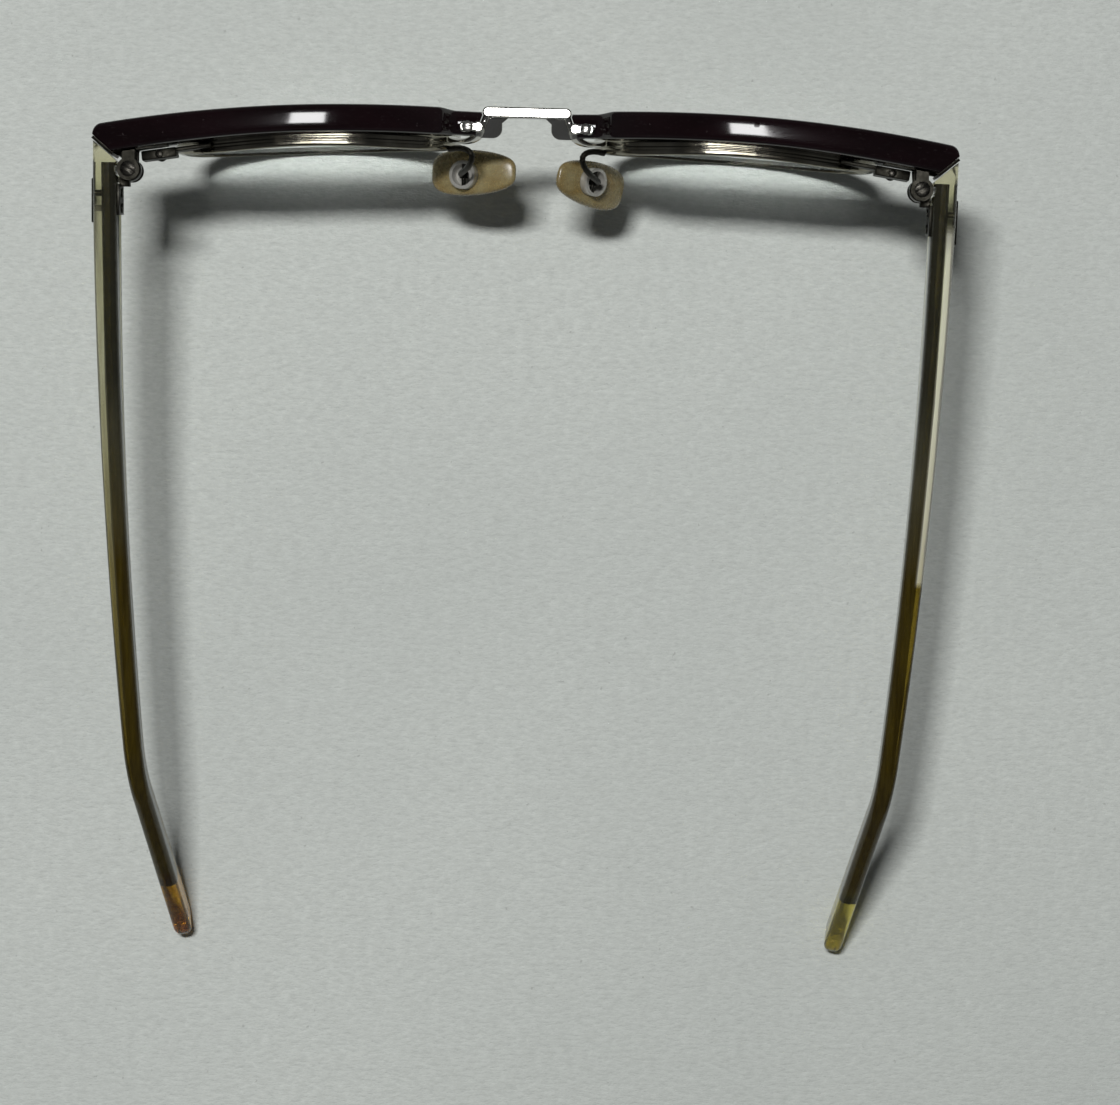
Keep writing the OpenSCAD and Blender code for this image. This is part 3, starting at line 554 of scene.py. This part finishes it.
def section(w, h, r, arc=6, flat=6):
    """A rounded rectangle as points across and up, with points along its flats too."""
    points = []
    for q, (sx, sy) in enumerate(((1, 1), (-1, 1), (-1, -1), (1, -1))):
        for k in range(arc + 1):
            a = math.pi / 2 * (q + k / arc)
            points.append((sx * (w / 2 - r) + r * math.cos(a), sy * (h / 2 - r) + r * math.sin(a)))
        run = (w if q % 2 == 0 else h) - 2 * r
        way = ((-1, 0), (0, -1), (1, 0), (0, 1))[q]
        last = points[-1]
        points += [(last[0] + way[0] * run * k / flat, last[1] + way[1] * run * k / flat)
                   for k in range(1, flat)]
    return points


def flat_round(w, h, square, steps):
    """A flattened round as points across and up."""
    return [
        (w / 2 * power(math.cos(a), 2 / square), h / 2 * power(math.sin(a), 2 / square))
        for a in (2 * math.pi * (k + 0.5) / steps for k in range(steps))
    ]


def ring_at(centre, way, side, outline):
    """An outline set square to a way through a centre."""
    across = way.cross(side).normalized()
    up = across.cross(way)
    return [centre + p[0] * across + p[1] * up for p in outline]


def turn_z(angle):
    """A turn about Z."""
    return Matrix.Rotation(angle, 4, "Z")


def move(x, y, z):
    """A shift."""
    return Matrix.Translation((x, y, z))


def rounded(obj, edge):
    """The object with its sharp edges rounded."""
    bevel = obj.modifiers.new("edges", "BEVEL")
    bevel.width = edge
    bevel.segments = 2
    bevel.limit_method = "ANGLE"
    bevel.angle_limit = ROUNDED_ANGLE
    return baked(obj)


# Brows

def brow_bow(x):
    """How far the brow lies back of its front at the lens's centre."""
    r = BROW_RADIUS * (INNER_FLATTER if x < LENS_X else 1)
    return (x - LENS_X) * math.tan(WRAP) + r - math.sqrt(r * r - (x - LENS_X) ** 2)


def brow_front(x):
    """Depth of the brow's front at x."""
    return BROW_Y + brow_bow(x)


def brow_back(x):
    """Depth of the brow's back at x."""
    return brow_front(x) + lerp(BROW_D, BROW_END_D, ease((x - LENS_X) / (END_X - LENS_X)))


def brow_top(x):
    """Height of the brow's top at x."""
    if x < BROW_PEAK_X:
        return BROW_TOP_Z - INNER_TOP_FALL * ((BROW_PEAK_X - x) / (BROW_PEAK_X - NECK_END_X)) ** 2
    return BROW_TOP_Z - (BROW_TOP_Z - BROW_END_TOP) * ((x - BROW_PEAK_X) / (END_X - BROW_PEAK_X)) ** 2


def brow_low(x):
    """Height of the brow's lower edge at x."""
    if x < LENS_X:
        return BROW_LOW_Z - INNER_LOW_FALL * ((LENS_X - x) / (LENS_W / 2)) ** 2
    return (BROW_LOW_Z - CHEEK_DROP * ease((x - LENS_X) / (CHEEK_X - LENS_X))
            + (BROW_END_Z - BROW_LOW_Z + CHEEK_DROP) * ease((x - CHEEK_X) / (END_X - CHEEK_X)))


def corner_back(x):
    """How far the rounding of the brow's outer corner sets its front back."""
    over = x - END_X + BROW_CORNER
    return 0.0 if over < 0 else BROW_CORNER - math.sqrt(max(0.0, BROW_CORNER ** 2 - over ** 2))


def brow_ring(x):
    """The brow's section at x, running into its neck by the bridge."""
    s = ease((x - NECK_END_X) / NECK_RAMP)
    front = brow_front(x) + (1 - s) * NECK_SETBACK + corner_back(x)
    back = lerp(brow_front(x) + NECK_SETBACK + NECK_D, brow_back(x), s)
    top = lerp(NECK_TOP, brow_top(x), s)
    low = lerp(NECK_TOP - NECK_H, brow_low(x), s)
    w = back - front
    h = top - low
    ring = []
    for across, up in section(w, h, lerp(NECK_ROUND, BROW_ROUND, s), arc=7, flat=8):
        crown = lerp(NECK_CROWN_TIMES, 1, s) * BROW_CROWN * (2 * across / w) ** 2 * max(0.0, 2 * up / h)
        ring.append(Vector((x, (front + back) / 2 - across, (top + low) / 2 + up - crown)))
    return ring


def at_mitre(gap):
    """The frame of the mitre between brow and temple, set off by gap."""
    return move(END_X, brow_front(END_X) + MITRE_BACK, 0) @ turn_z(-MITRE_ANGLE) @ move(0, gap, 0)


SEAT_ANGLE = WRAP + math.asin((PIN_X - LENS_X) / BROW_RADIUS)
HINGE_Z = (BROW_END_TOP + BROW_END_Z) / 2
PIN_Y = brow_back(PIN_X) - SEAT_D + LEAF_T + PIN_BACK + BARREL_D / 2
AT_SEAT = move(PIN_X, brow_back(PIN_X) - SEAT_D, HINGE_Z) @ turn_z(SEAT_ANGLE)
AT_LEG = move(BAR_L / 2, BAR_Y + BAR_D / 2, 0) @ turn_z(LEG_TURN)


def lens_plug(out, radius):
    """The lens outline grown by out, as a plug from a ball's face backward."""
    angles = around(160)
    rings = [[Vector((LENS_X + e.x, 30.0, LENS_Z + e.y)) for e in (edge_at(a, out) for a in angles)]]
    for share in (1.0, 0.94, 0.85, 0.7, 0.5, 0.3, 0.1):
        rings.append([
            Vector((LENS_X + share * e.x, ball_y(share * e.x, share * e.y, radius), LENS_Z + share * e.y))
            for e in (edge_at(a, out) for a in angles)
        ])
    return loft("tool", rings)


def lens_prism(out, low, high):
    """A straight plug of the lens outline grown by out, between two depths."""
    return loft("tool", [
        [Vector((LENS_X + e.x, y, LENS_Z + e.y)) for e in (edge_at(a, out) for a in around(160))]
        for y in (low, high)
    ])


def make_brow():
    """The brow with its pocket for the ring and its seats for the hinge and the bridge."""
    start = BAR_L / 2 + 0.3
    ramp = NECK_END_X + NECK_RAMP
    stops = [lerp(start, ramp, k / 24) for k in range(24)]
    stops += [lerp(ramp, END_X - BROW_CORNER, k / 70) for k in range(71)]
    stops += [END_X - BROW_CORNER + BROW_CORNER * math.sin(math.radians(8 * k)) for k in range(1, 11)]
    obj = loft("brow", [brow_ring(x) for x in stops])
    return carve(obj, [
        lens_plug(RIM_OUT + BROW_GAP, LENS_RADIUS + WIRE_D / 2 + BROW_GAP + 0.05),
        box(at_mitre(-SEAM), (-10, 0, 0), (20, 10, TALL)),
        box(AT_SEAT, (-SEAT_INNER, -SEAM, -BARREL_H / 2 - SEAM), (6, 5, BARREL_H + 2 * SEAM)),
        box(AT_SEAT, (-BROW_LEAF_L - SEAM, -SEAM, -BROW_LEAF_LOW - SEAM),
            (BROW_LEAF_L, 5, BROW_LEAF_H + 2 * SEAM)),
        box(AT_LEG, (-4, -4, 0), (4 + LEG_W / 2 + 0.1, 12, TALL)),
        rod(AT_LEG, BAR_D / 2 + 2 * SEAM, 0, TALL),
    ])


# Eyewires and lenses

LOCK_X = LENS_X + 0.36 * LENS_W
LOCK_Z = LENS_Z + 0.4 * LENS_H
LOCK_L = (PIN_X - LOCK_X) / math.cos(SEAT_ANGLE) - 1.5
LOCK_D = 1.5
LOCK_H = 3.8
LOCK_BLOCK_L = 5.6
TONGUE_T = 0.7
SLIT = 0.2
SCREW_R = 0.63
LOCK_Y = brow_back(LOCK_X) + LEAF_T - SEAT_D + SEAM
AT_LOCK = move(LOCK_X, LOCK_Y, LOCK_Z) @ turn_z(SEAT_ANGLE - math.radians(0.6))


def wire_section():
    """The ring's section as points outward and backward, with rounded lips and three fine ridges."""
    half = WIRE_D / 2
    points = [(-GROOVE_D, -0.6), (-0.05, -0.4), (0.0, -0.3), (0.0, 0.3), (-0.05, 0.4), (-GROOVE_D, 0.6)]
    lip = 0.16
    edge = 0.42
    corners = ((-GROOVE_D + lip, half - lip, lip, 180), (RIM_OUT - edge, half - edge, edge, 90))
    for cx, cy, r, first in corners:
        for k in range(6):
            a = math.radians(first - 18 * k)
            points.append((cx + r * math.cos(a), cy + r * math.sin(a)))
    ridge_pitch = 0.52
    ridge_depth = 0.05
    for y in (0.65, 0.52, 0.39, 0.26, 0.13, 0.04):
        points.append((RIM_OUT - ridge_depth * (1 - math.cos(2 * math.pi * y / ridge_pitch)) / 2, y))
    return points + [(p[0], -p[1]) for p in reversed(points[6:])]


def make_eyewire():
    """The ring with its closing block on a tongue. A slit and a screw hole run through the block."""
    rings = []
    for a in around(240):
        mid = outline_at(a)
        depth = ball_y(mid.x, mid.y, LENS_RADIUS) + rim_bow(mid.y)
        rings.append([
            Vector((LENS_X + e.x, depth + p[1], LENS_Z + e.y))
            for p, e in ((p, edge_at(a, p[0])) for p in wire_section())
        ])
    ring = loft("eyewire", rings, loop=True)
    tongue = rounded(box(AT_LOCK, (0, 0, -LOCK_H / 2 + 0.3), (LOCK_L - 1, TONGUE_T, LOCK_H - 0.6)), 0.12)
    carve(tongue, [lens_prism(SEAM, -10, 20)])
    block = rounded(box(AT_LOCK, (LOCK_L - LOCK_BLOCK_L, -SEAM, -LOCK_H / 2),
                        (LOCK_BLOCK_L, LOCK_D + SEAM, LOCK_H)), 0.18)
    carve(tongue, [block], "UNION")
    carve(ring, [tongue], "UNION")
    at_screw = AT_LOCK @ move(LOCK_L - LOCK_BLOCK_L / 2, LOCK_D / 2, 0)
    carve(ring, [
        box(AT_LOCK, (-2, -3, -SLIT / 2), (LOCK_L + 4, 6, SLIT)),
        rod(at_screw, SCREW_R, -LOCK_H, LOCK_H),
    ])
    ring.data.materials.append(MATERIALS["eyewire_metal"])
    ring.data.materials.append(MATERIALS["hinge_metal"])
    # The closing block takes the darker hinge metal as painted shade, for the dark that its upturned flat
    # top reflects
    for face in ring.data.polygons:
        out = Vector((face.center.x - LENS_X, face.center.z - LENS_Z))
        edge = outline_at(math.atan2(out.y, out.x)).length
        in_block = out.length > edge + RIM_OUT + 0.25
        face.material_index = 1 if in_block else 0
    return ring


def make_lens():
    """The lens, with the tongue round its edge that sits in the ring's groove."""
    angles = around(160)
    edge = -GROOVE_D - SEAM
    rings = []
    for share in (0.04, 0.25, 0.5, 0.75, 0.92):
        rings.append((share, edge, -LENS_T / 2))
    rings += [(1, edge, -LENS_T / 2), (1, edge, -0.45), (1, -SEAM, -0.12),
              (1, -SEAM, 0.12), (1, edge, 0.45), (1, edge, LENS_T / 2)]
    for share in (0.92, 0.75, 0.5, 0.25, 0.04):
        rings.append((share, edge, LENS_T / 2))
    return loft("lens", [
        [Vector((LENS_X + share * e.x,
                 ball_y(share * e.x, share * e.y, LENS_RADIUS - back) + rim_bow(share * e.y),
                 LENS_Z + share * e.y))
         for e in (edge_at(a, out) for a in angles)]
        for share, out, back in rings
    ])


# Temples

def run_x(y):
    """How far the temple's middle line lies outside the hinge pin."""
    return PIN_GAP + TEMPLE_FRONT_W / 2 - TEMPLE_BOW * (max(0.0, y) / TEMPLE_L) ** 2


BEND_FROM = Vector((-2 * TEMPLE_BOW, TEMPLE_L, 0)).normalized()
BEND_YAW = math.atan(2 * TEMPLE_BOW / TEMPLE_L) + TIP_TURN
BEND_TO = Vector((-math.sin(BEND_YAW) * math.cos(TIP_DROP), math.cos(BEND_YAW) * math.cos(TIP_DROP),
                  -math.sin(TIP_DROP)))
BEND_ANGLE = BEND_FROM.angle(BEND_TO)
BEND_CUT = BEND_R * math.tan(BEND_ANGLE / 2)
BEND_ARC = BEND_R * BEND_ANGLE
BEND_APEX = Vector((run_x(TEMPLE_L), TEMPLE_L, 0))
BEND_IN = (BEND_TO - math.cos(BEND_ANGLE) * BEND_FROM).normalized()
RUN_END = TEMPLE_L - BEND_CUT
TEMPLE_END = RUN_END + BEND_ARC + TIP_L - BEND_CUT - TIP_R
AT_TEMPLE = move(PIN_X, PIN_Y, HINGE_Z) @ turn_z(TOE_IN) @ Matrix.Rotation(-TEMPLE_SLOPE, 4, "X")


def temple_path(s):
    """Point of the temple's middle line at length s from the hinge."""
    if s <= RUN_END:
        return Vector((run_x(s), s, 0))
    if s <= RUN_END + BEND_ARC:
        u = (s - RUN_END) / BEND_R
        return (BEND_APEX - BEND_CUT * BEND_FROM
                + BEND_R * (math.sin(u) * BEND_FROM + (1 - math.cos(u)) * BEND_IN))
    return BEND_APEX + (BEND_CUT + s - RUN_END - BEND_ARC) * BEND_TO


def temple_size(s):
    """Width and height of the temple at length s."""
    if s < TEMPLE_L:
        return (lerp(TEMPLE_FRONT_W, TEMPLE_REAR_W, max(0.0, s) / TEMPLE_L),
                lerp(TEMPLE_FRONT_H, TEMPLE_REAR_H, ease(s / (0.7 * TEMPLE_L))))
    return TEMPLE_REAR_W, lerp(TEMPLE_REAR_H, TIP_H, ease((s - TEMPLE_L) / (0.7 * TIP_L)))


def temple_ring(s, w, h):
    """The temple's section at length s, w wide and h high."""
    way = (temple_path(s + 0.05) - temple_path(s - 0.05)).normalized()
    outline = section(w, h, 0.34 * w, 6, 4)
    return [AT_TEMPLE @ p for p in ring_at(temple_path(s), way, Vector((0, 0, -1)), outline)]


def make_temple():
    """The temple with a round end, cut to the mitre, the hinge, its leaf and the shield."""
    stops = [lerp(-9.0, RUN_END, k / 60) for k in range(60)]
    stops += [RUN_END + BEND_ARC * k / 16 for k in range(16)]
    stops += [lerp(RUN_END + BEND_ARC, TEMPLE_END, k / 20) for k in range(21)]
    rings = [temple_ring(s, *temple_size(s)) for s in stops]
    for k in range(1, 12):
        a = math.radians(7.8 * k)
        rings.append(temple_ring(TEMPLE_END + TIP_R * math.sin(a),
                                 TEMPLE_REAR_W * math.cos(a), TIP_H * math.cos(a)))
    shield_y = RIVET_Y + RIVET_PITCH / 2 - SHIELD_L / 2
    return carve(loft("temple", rings), [
        box(at_mitre(MITRE_T + MITRE_GAP), (-20, -20, 0), (40, 20, TALL)),
        rod(move(PIN_X, PIN_Y, 0), BARREL_D / 2 + SWING_GAP, 0, TALL),
        box(AT_TEMPLE, (-1, LEAF_Y - 0.3, -LEAF_H / 2 - SEAM),
            (1 + PIN_GAP + PLATE_SINK, LEAF_L + 0.3 + SEAM, LEAF_H + 2 * SEAM)),
        box(AT_TEMPLE, (PIN_GAP + TEMPLE_FRONT_W - PLATE_SINK, shield_y - SEAM, -SHIELD_H / 2 - SEAM),
            (4, SHIELD_L + 2 * SEAM, SHIELD_H + 2 * SEAM)),
    ])


# Nose pads

def make_pad(side):
    """A nose pad, leaning on its pin, with the hollow for its cup."""
    p = PADS[side]
    at = (move(p["out"], LENS_Y + p["back"], PAD_Z) @ turn_z(math.radians(p["turn"]))
          @ Matrix.Rotation(-math.radians(p["lean"]), 4, "Y"))
    middle = (0.5 - p["share"]) * PAD_L
    back = CUP_BASE - PAD_SINK
    rings = []
    for k in range(33):
        t = -math.cos(math.radians(lerp(4, 176, k / 32)))
        swell = (1 - t * t) ** 0.28
        w = PAD_W * swell * (1 - 0.13 * t)
        h = PAD_T * lerp(0.35, 1, swell) * swell
        rings.append([at @ Vector((q[0] - back - PAD_T / 2, p["across"] - q[1], middle + t * PAD_L / 2))
                      for q in flat_round(h, w, 2.6, 36)])
    cup = at @ Matrix.Rotation(math.pi / 2, 4, "Y")
    return carve(loft("pad", rings), [rod(cup, CUP_D / 2 + SEAM, -CUP_BASE - SEAM, 5)])


# Bridge

def inset(outline, by):
    """A plan outline moved inward by a small amount."""
    n = len(outline)
    area = sum(outline[i - 1].x * outline[i].y - outline[i].x * outline[i - 1].y for i in range(n))
    turn = 1 if area > 0 else -1
    moved = []
    for i, p in enumerate(outline):
        a = (p - outline[i - 1]).normalized()
        b = (outline[(i + 1) % n] - p).normalized()
        normal_a = turn * Vector((-a.y, a.x))
        normal_b = turn * Vector((-b.y, b.x))
        middle = (normal_a + normal_b).normalized()
        moved.append(p + by / max(0.4, middle.dot(normal_a)) * middle)
    return moved


def plate(outline, low, high, edge, at=Matrix()):
    """A flat plate from a plan outline, its upper and lower edges rounded."""
    rings = []
    for base, way in ((low, 1), (high, -1)):
        level = [[at @ Vector((p.x, p.y, base)) for p in inset(outline, 1.3 * edge)]]
        for k in range(4):
            a = math.radians(30 * k)
            flat = inset(outline, edge * (1 - math.sin(a)))
            z = base + way * edge * (1 - math.cos(a))
            level.append([at @ Vector((p.x, p.y, z)) for p in flat])
        rings += level if way == 1 else level[::-1]
    return loft("plate", rings)


def arc(cx, cy, r, first, last, steps):
    """Points along an arc, from the first angle to the last, in degrees."""
    return [
        Vector((cx + r * math.cos(a), cy + r * math.sin(a)))
        for a in (math.radians(lerp(first, last, k / steps)) for k in range(steps + 1))
    ]


def bar_outline():
    """Plan of the bar with its round ends."""
    half = arc(BAR_L / 2, BAR_Y + BAR_D / 2, BAR_D / 2, -90, 90, 16)
    return half + [Vector((-p.x, p.y)) for p in reversed(half)]


def leg():
    """A round-edged leg from the end of the bar back to the foot, rising a little."""
    down = Vector((-math.sin(LEG_TURN), math.cos(LEG_TURN), 0))
    start = Vector((BAR_L / 2, BAR_Y + BAR_D / 2, BAR_Z - BAR_H / 2 - 0.06))
    sag = Vector((0, 0, -0.75))
    rise = Vector((0, 0, 0.25))
    route = [start, start + down * 1.0 + sag, start + down * 2.3 + sag, start + down * LEG_L + rise]
    return sweep(route, section(LEG_W, BAR_H, 0.48, 6, 2), 12, Vector((0, 0, -1)))


def foot_outline():
    """Plan of the foot, two lobes joined by a waist."""
    first = FOOT_X + 0.2
    second = FOOT_X + 2.35
    lobe = 0.5 * FOOT_W + 0.12
    waist_x = (first + second) / 2
    waist_half = 0.42 * FOOT_W
    outer = arc(second, FOOT_Y, lobe, -125, 125, 14)
    inner = arc(first, FOOT_Y, lobe, 55, 305, 14)
    return (outer + [Vector((waist_x, FOOT_Y + waist_half))]
            + inner + [Vector((waist_x, FOOT_Y - waist_half))])


def gusset_outline():
    """Plan of the flat web between the bar and the leg, with one round corner."""
    width = 2.7
    length = 3.4
    corner = 1.5
    return ([Vector((0.0, 0.0)), Vector((-width - 1, 0.0)), Vector((-width, 0.9))]
            + arc(-width + corner, length - corner, corner, 180, 90, 8) + [Vector((0.7, length))])


def bezier(points, t):
    """Point at share t of the curve that the points shape."""
    if len(points) == 1:
        return points[0]
    return bezier([a.lerp(b, t) for a, b in zip(points, points[1:])], t)


def sweep(route, outline, steps, side):
    """A solid of one outline along the curve that a route shapes."""
    rings = []
    for k in range(steps + 1):
        t = k / steps
        way = (bezier(route, t + 0.01) - bezier(route, t - 0.01)).normalized()
        rings.append(ring_at(bezier(route, t), way, side, outline))
    return loft("sweep", rings)


def strap():
    """The strap from the foot down to the ring."""
    end = edge_at(math.radians(155), RIM_OUT + SEAM + 0.64)
    start = Vector((FOOT_X - 0.1, FOOT_Y + 0.4, BAR_Z - BAR_H + 0.5))
    finish = Vector((LENS_X + end.x, ball_y(end.x, end.y, LENS_RADIUS), LENS_Z + end.y))
    route = [start, start + Vector((0.4, 2.2, -1.6)), finish + Vector((-0.6, 0.6, 3)), finish]
    return sweep(route, section(1.6, 0.9, 0.3, 3, 1), 16, Vector((0, 1, 0)))


def mirrored(obj):
    """The object mirrored left to right."""
    obj.data.transform(Matrix.Diagonal((-1, 1, 1, 1)))
    obj.data.flip_normals()
    return obj


def make_bridge():
    """The bar with a leg, foot, gusset and strap on both sides, as one solid."""
    at_gusset = (move(BAR_L / 2 + 0.4, BAR_Y + BAR_D - 0.3, BAR_Z - BAR_H + 0.4)
                 @ Matrix.Rotation(math.radians(-18), 4, "X"))
    bridge = plate(bar_outline(), BAR_Z - BAR_H, BAR_Z, 0.22)
    for flip in (lambda obj: obj, mirrored):
        carve(bridge, [
            flip(leg()),
            flip(plate(foot_outline(), NECK_TOP + SEAM, NECK_TOP + SEAM + FOOT_T, 0.2)),
            flip(plate(gusset_outline(), 0, 0.9, 0.15, at_gusset)),
            flip(strap()),
        ], "UNION")
    return bridge


# Pieces of the model

def stand(obj, name, side, body, slot, node):
    """Sets a drawn shape in the model, mirrored for the right side."""
    where = STAND @ Matrix.Diagonal((-1, 1, 1, 1)) if side == "right" else STAND
    obj.data.transform(where)
    if side == "right":
        obj.data.flip_normals()
    obj.name = name
    obj.data.name = name
    return finish_piece(obj, body, slot, node)


def finish_piece(obj, body, slot, node):
    """Gives a piece the material named by slot, unless it has two already, its shading and its body, and
    hides the CAD node that it stands for.
    """
    if len(obj.data.materials) < 2:
        obj.data.materials.clear()
        obj.data.materials.append(MATERIALS[slot])
    obj.data.shade_smooth()
    obj.data.set_sharp_from_angle(angle=SHARP_ANGLE)
    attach(obj, body)
    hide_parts(node)
    return obj


def dress(node, body, slot, edge):
    """A copy of a CAD node with rounded edges, which stands for it."""
    obj = link(bpy.data.objects.new(node + "_dressed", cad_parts[node].data.copy()))
    bm = bmesh.new()
    bm.from_mesh(obj.data)
    bmesh.ops.remove_doubles(bm, verts=bm.verts, dist=0.002 * MM)
    bmesh.ops.dissolve_limit(bm, angle_limit=math.radians(1.0), verts=bm.verts, edges=bm.edges)
    bm.to_mesh(obj.data)
    bm.free()
    return finish_piece(rounded(obj, edge * MM), body, slot, node)


for side in ("left", "right"):
    temple = "temple_" + side
    pad = "nose_pad_" + side
    stand(make_brow(), "brow_acetate_" + side, side, "front", "brow_acetate", "brow_" + side)
    stand(make_eyewire(), "eyewire_ring_" + side, side, "front", "eyewire_metal", "eyewire_" + side)
    stand(make_lens(), "lens_clear_" + side, side, "front", "lens_glass", "lens_" + side)
    stand(make_pad(side), "pad_plastic_" + side, side, pad, "pad_plastic", "nose_pad_" + side)
    stand(make_temple(), "temple_plastic_" + side, side, temple, "temple_acetate", "temple_" + side)
    dress("pad_arm_" + side, "front", "pad_arm_metal", 0.05)
    dress("pad_cup_" + side, pad, "pad_cup_metal", 0.1)
    dress("pad_pin_" + side, pad, "screw_metal", 0.05)
    dress("hinge_front_" + side, "front", "hinge_metal", 0.1)
    dress("hinge_screw_" + side, "front", "screw_metal", 0.06)
    dress("hinge_temple_" + side, temple, "hinge_metal", 0.1)
    dress("temple_core_" + side, temple, "core_metal", 0.05)
    dress("temple_shield_" + side, temple, "hinge_metal", 0.15)
    dress("hinge_rivets_" + side, temple, "screw_metal", 0.06)
stand(make_bridge(), "bridge_metal", "left", "front", "bridge_metal", "bridge")
dress("brow_screws", "front", "bridge_metal", 0.06)
dress("rim_lock_screws", "front", "screw_metal", 0.06)


# Floor, light and camera

FLOOR_HALF = 2.0
FLOOR_Z = -0.00003
CAMERA_AT = (-7.06, 2.50, 650.0)
CAMERA_TURN = math.radians(181.51)
CAMERA_LENS = 124.14
LAMP_DISTANCE = 1.8


def floor_cloth():
    """Pale grey cloth with a fine felted surface, faint weave and soft larger patches.

    It has painted shade toward one corner.
    """
    m = Nodes("floor_cloth")
    weave = m.noise(0.8, 4.0, 0.7, stretch=(0.5, 1.3, 1), seed=1.0)
    felt = m.noise(2.6, 3.0, 0.65, seed=5.0)
    cloud = m.span(m.noise(90.0, 3.0, 0.55, seed=2.0), 0.3, 0.7)
    fleck = m.span(m.noise(1.2, 2.0, 0.5, seed=9.0), 0.745, 0.77)
    tint = m.blend(cloud, rgb(0.475, 0.5, 0.475), rgb(0.535, 0.56, 0.53))
    tint = m.blend(m.span(weave, 0.3, 0.7, 0.0, 0.6), tint, rgb(0.36, 0.38, 0.36))
    tint = m.blend(m.span(felt, 0.35, 0.7, 0.0, 0.2), tint, rgb(0.36, 0.37, 0.35))
    tint = m.blend(m.math("MULTIPLY", fleck, 0.3), tint, rgb(0.16, 0.16, 0.15))
    spot = m.add("ShaderNodeSeparateXYZ")
    m.join(m.place.outputs[0], spot.inputs[0])
    # Painted shade, darker toward one corner
    corner = m.math("SUBTRACT", spot.outputs["Y"], spot.outputs["X"])
    tint = m.blend(m.span(corner, 40.0, 190.0, 0.0, 0.22), tint, rgb(0.3, 0.32, 0.3))
    m.set(Base_Color=tint, Roughness=m.span(weave, 0.3, 0.7, 0.85, 1.0), Specular_IOR_Level=0.2)
    m.bump(m.math("ADD", weave, felt), 0.3, 0.8)
    return m.mat


def make_floor():
    """A flat floor a hair below the part."""
    mesh = bpy.data.meshes.new("floor")
    corners = [(x * FLOOR_HALF, y * FLOOR_HALF, FLOOR_Z) for x, y in ((-1, -1), (1, -1), (1, 1), (-1, 1))]
    mesh.from_pydata(corners, [], [(0, 1, 2, 3)])
    floor = link(bpy.data.objects.new("floor", mesh))
    mesh.materials.append(floor_cloth())


def make_world():
    """Soft light from all round, dim straight overhead where the camera is held."""
    world = bpy.data.worlds.new("studio")
    bpy.context.scene.world = world
    world.use_nodes = True
    tree = world.node_tree
    back = tree.nodes["Background"]
    back.inputs["Color"].default_value = rgb(0.95, 0.98, 1.0)
    way = tree.nodes.new("ShaderNodeTexCoord")
    split = tree.nodes.new("ShaderNodeSeparateXYZ")
    fade = tree.nodes.new("ShaderNodeMapRange")
    fade.interpolation_type = "SMOOTHSTEP"
    for name, value in (("From Min", 0.8), ("From Max", 0.96), ("To Min", 0.08), ("To Max", 0.03)):
        fade.inputs[name].default_value = value
    tree.links.new(way.outputs["Generated"], split.inputs[0])
    tree.links.new(split.outputs["Z"], fade.inputs["Value"])
    tree.links.new(fade.outputs["Result"], back.inputs["Strength"])


def make_lamp(name, toward, size, power):
    """A rectangular lamp that faces the model, its width along X."""
    lamp = bpy.data.lights.new(name, "AREA")
    lamp.shape = "RECTANGLE"
    lamp.size, lamp.size_y = size
    lamp.energy = power
    obj = link(bpy.data.objects.new(name, lamp))
    way = Vector(toward).normalized()
    along = Vector((0, 1, 0)).cross(way).normalized()
    facing = Matrix((along, way.cross(along), way)).transposed().to_4x4()
    obj.matrix_world = move(*(way * LAMP_DISTANCE)) @ facing
    return obj


def make_camera():
    """A camera straight above, with the picture's top toward the front of the pair."""
    data = bpy.data.cameras.new("camera")
    data.lens = CAMERA_LENS
    data.sensor_width = 36.0
    data.sensor_fit = "HORIZONTAL"
    data.clip_start = 0.01
    data.clip_end = 20.0
    cam = link(bpy.data.objects.new("camera", data))
    cam.location = [v * MM for v in CAMERA_AT]
    cam.rotation_euler = (0.0, 0.0, CAMERA_TURN)
    bpy.context.scene.camera = cam


make_floor()
make_world()
# The window lights the cloth and casts the shadows, and the panel shows only as highlights.
window = make_lamp("window", (3.0, -4.7, 20.0), (0.37, 0.14), 33.0)
window.visible_glossy = False
panel = make_lamp("panel", (0.12, -1.45, 20.0), (0.27, 0.25), 4.4)
panel.visible_diffuse = False
make_camera()

scene = bpy.context.scene
scene.view_settings.view_transform = "Standard"
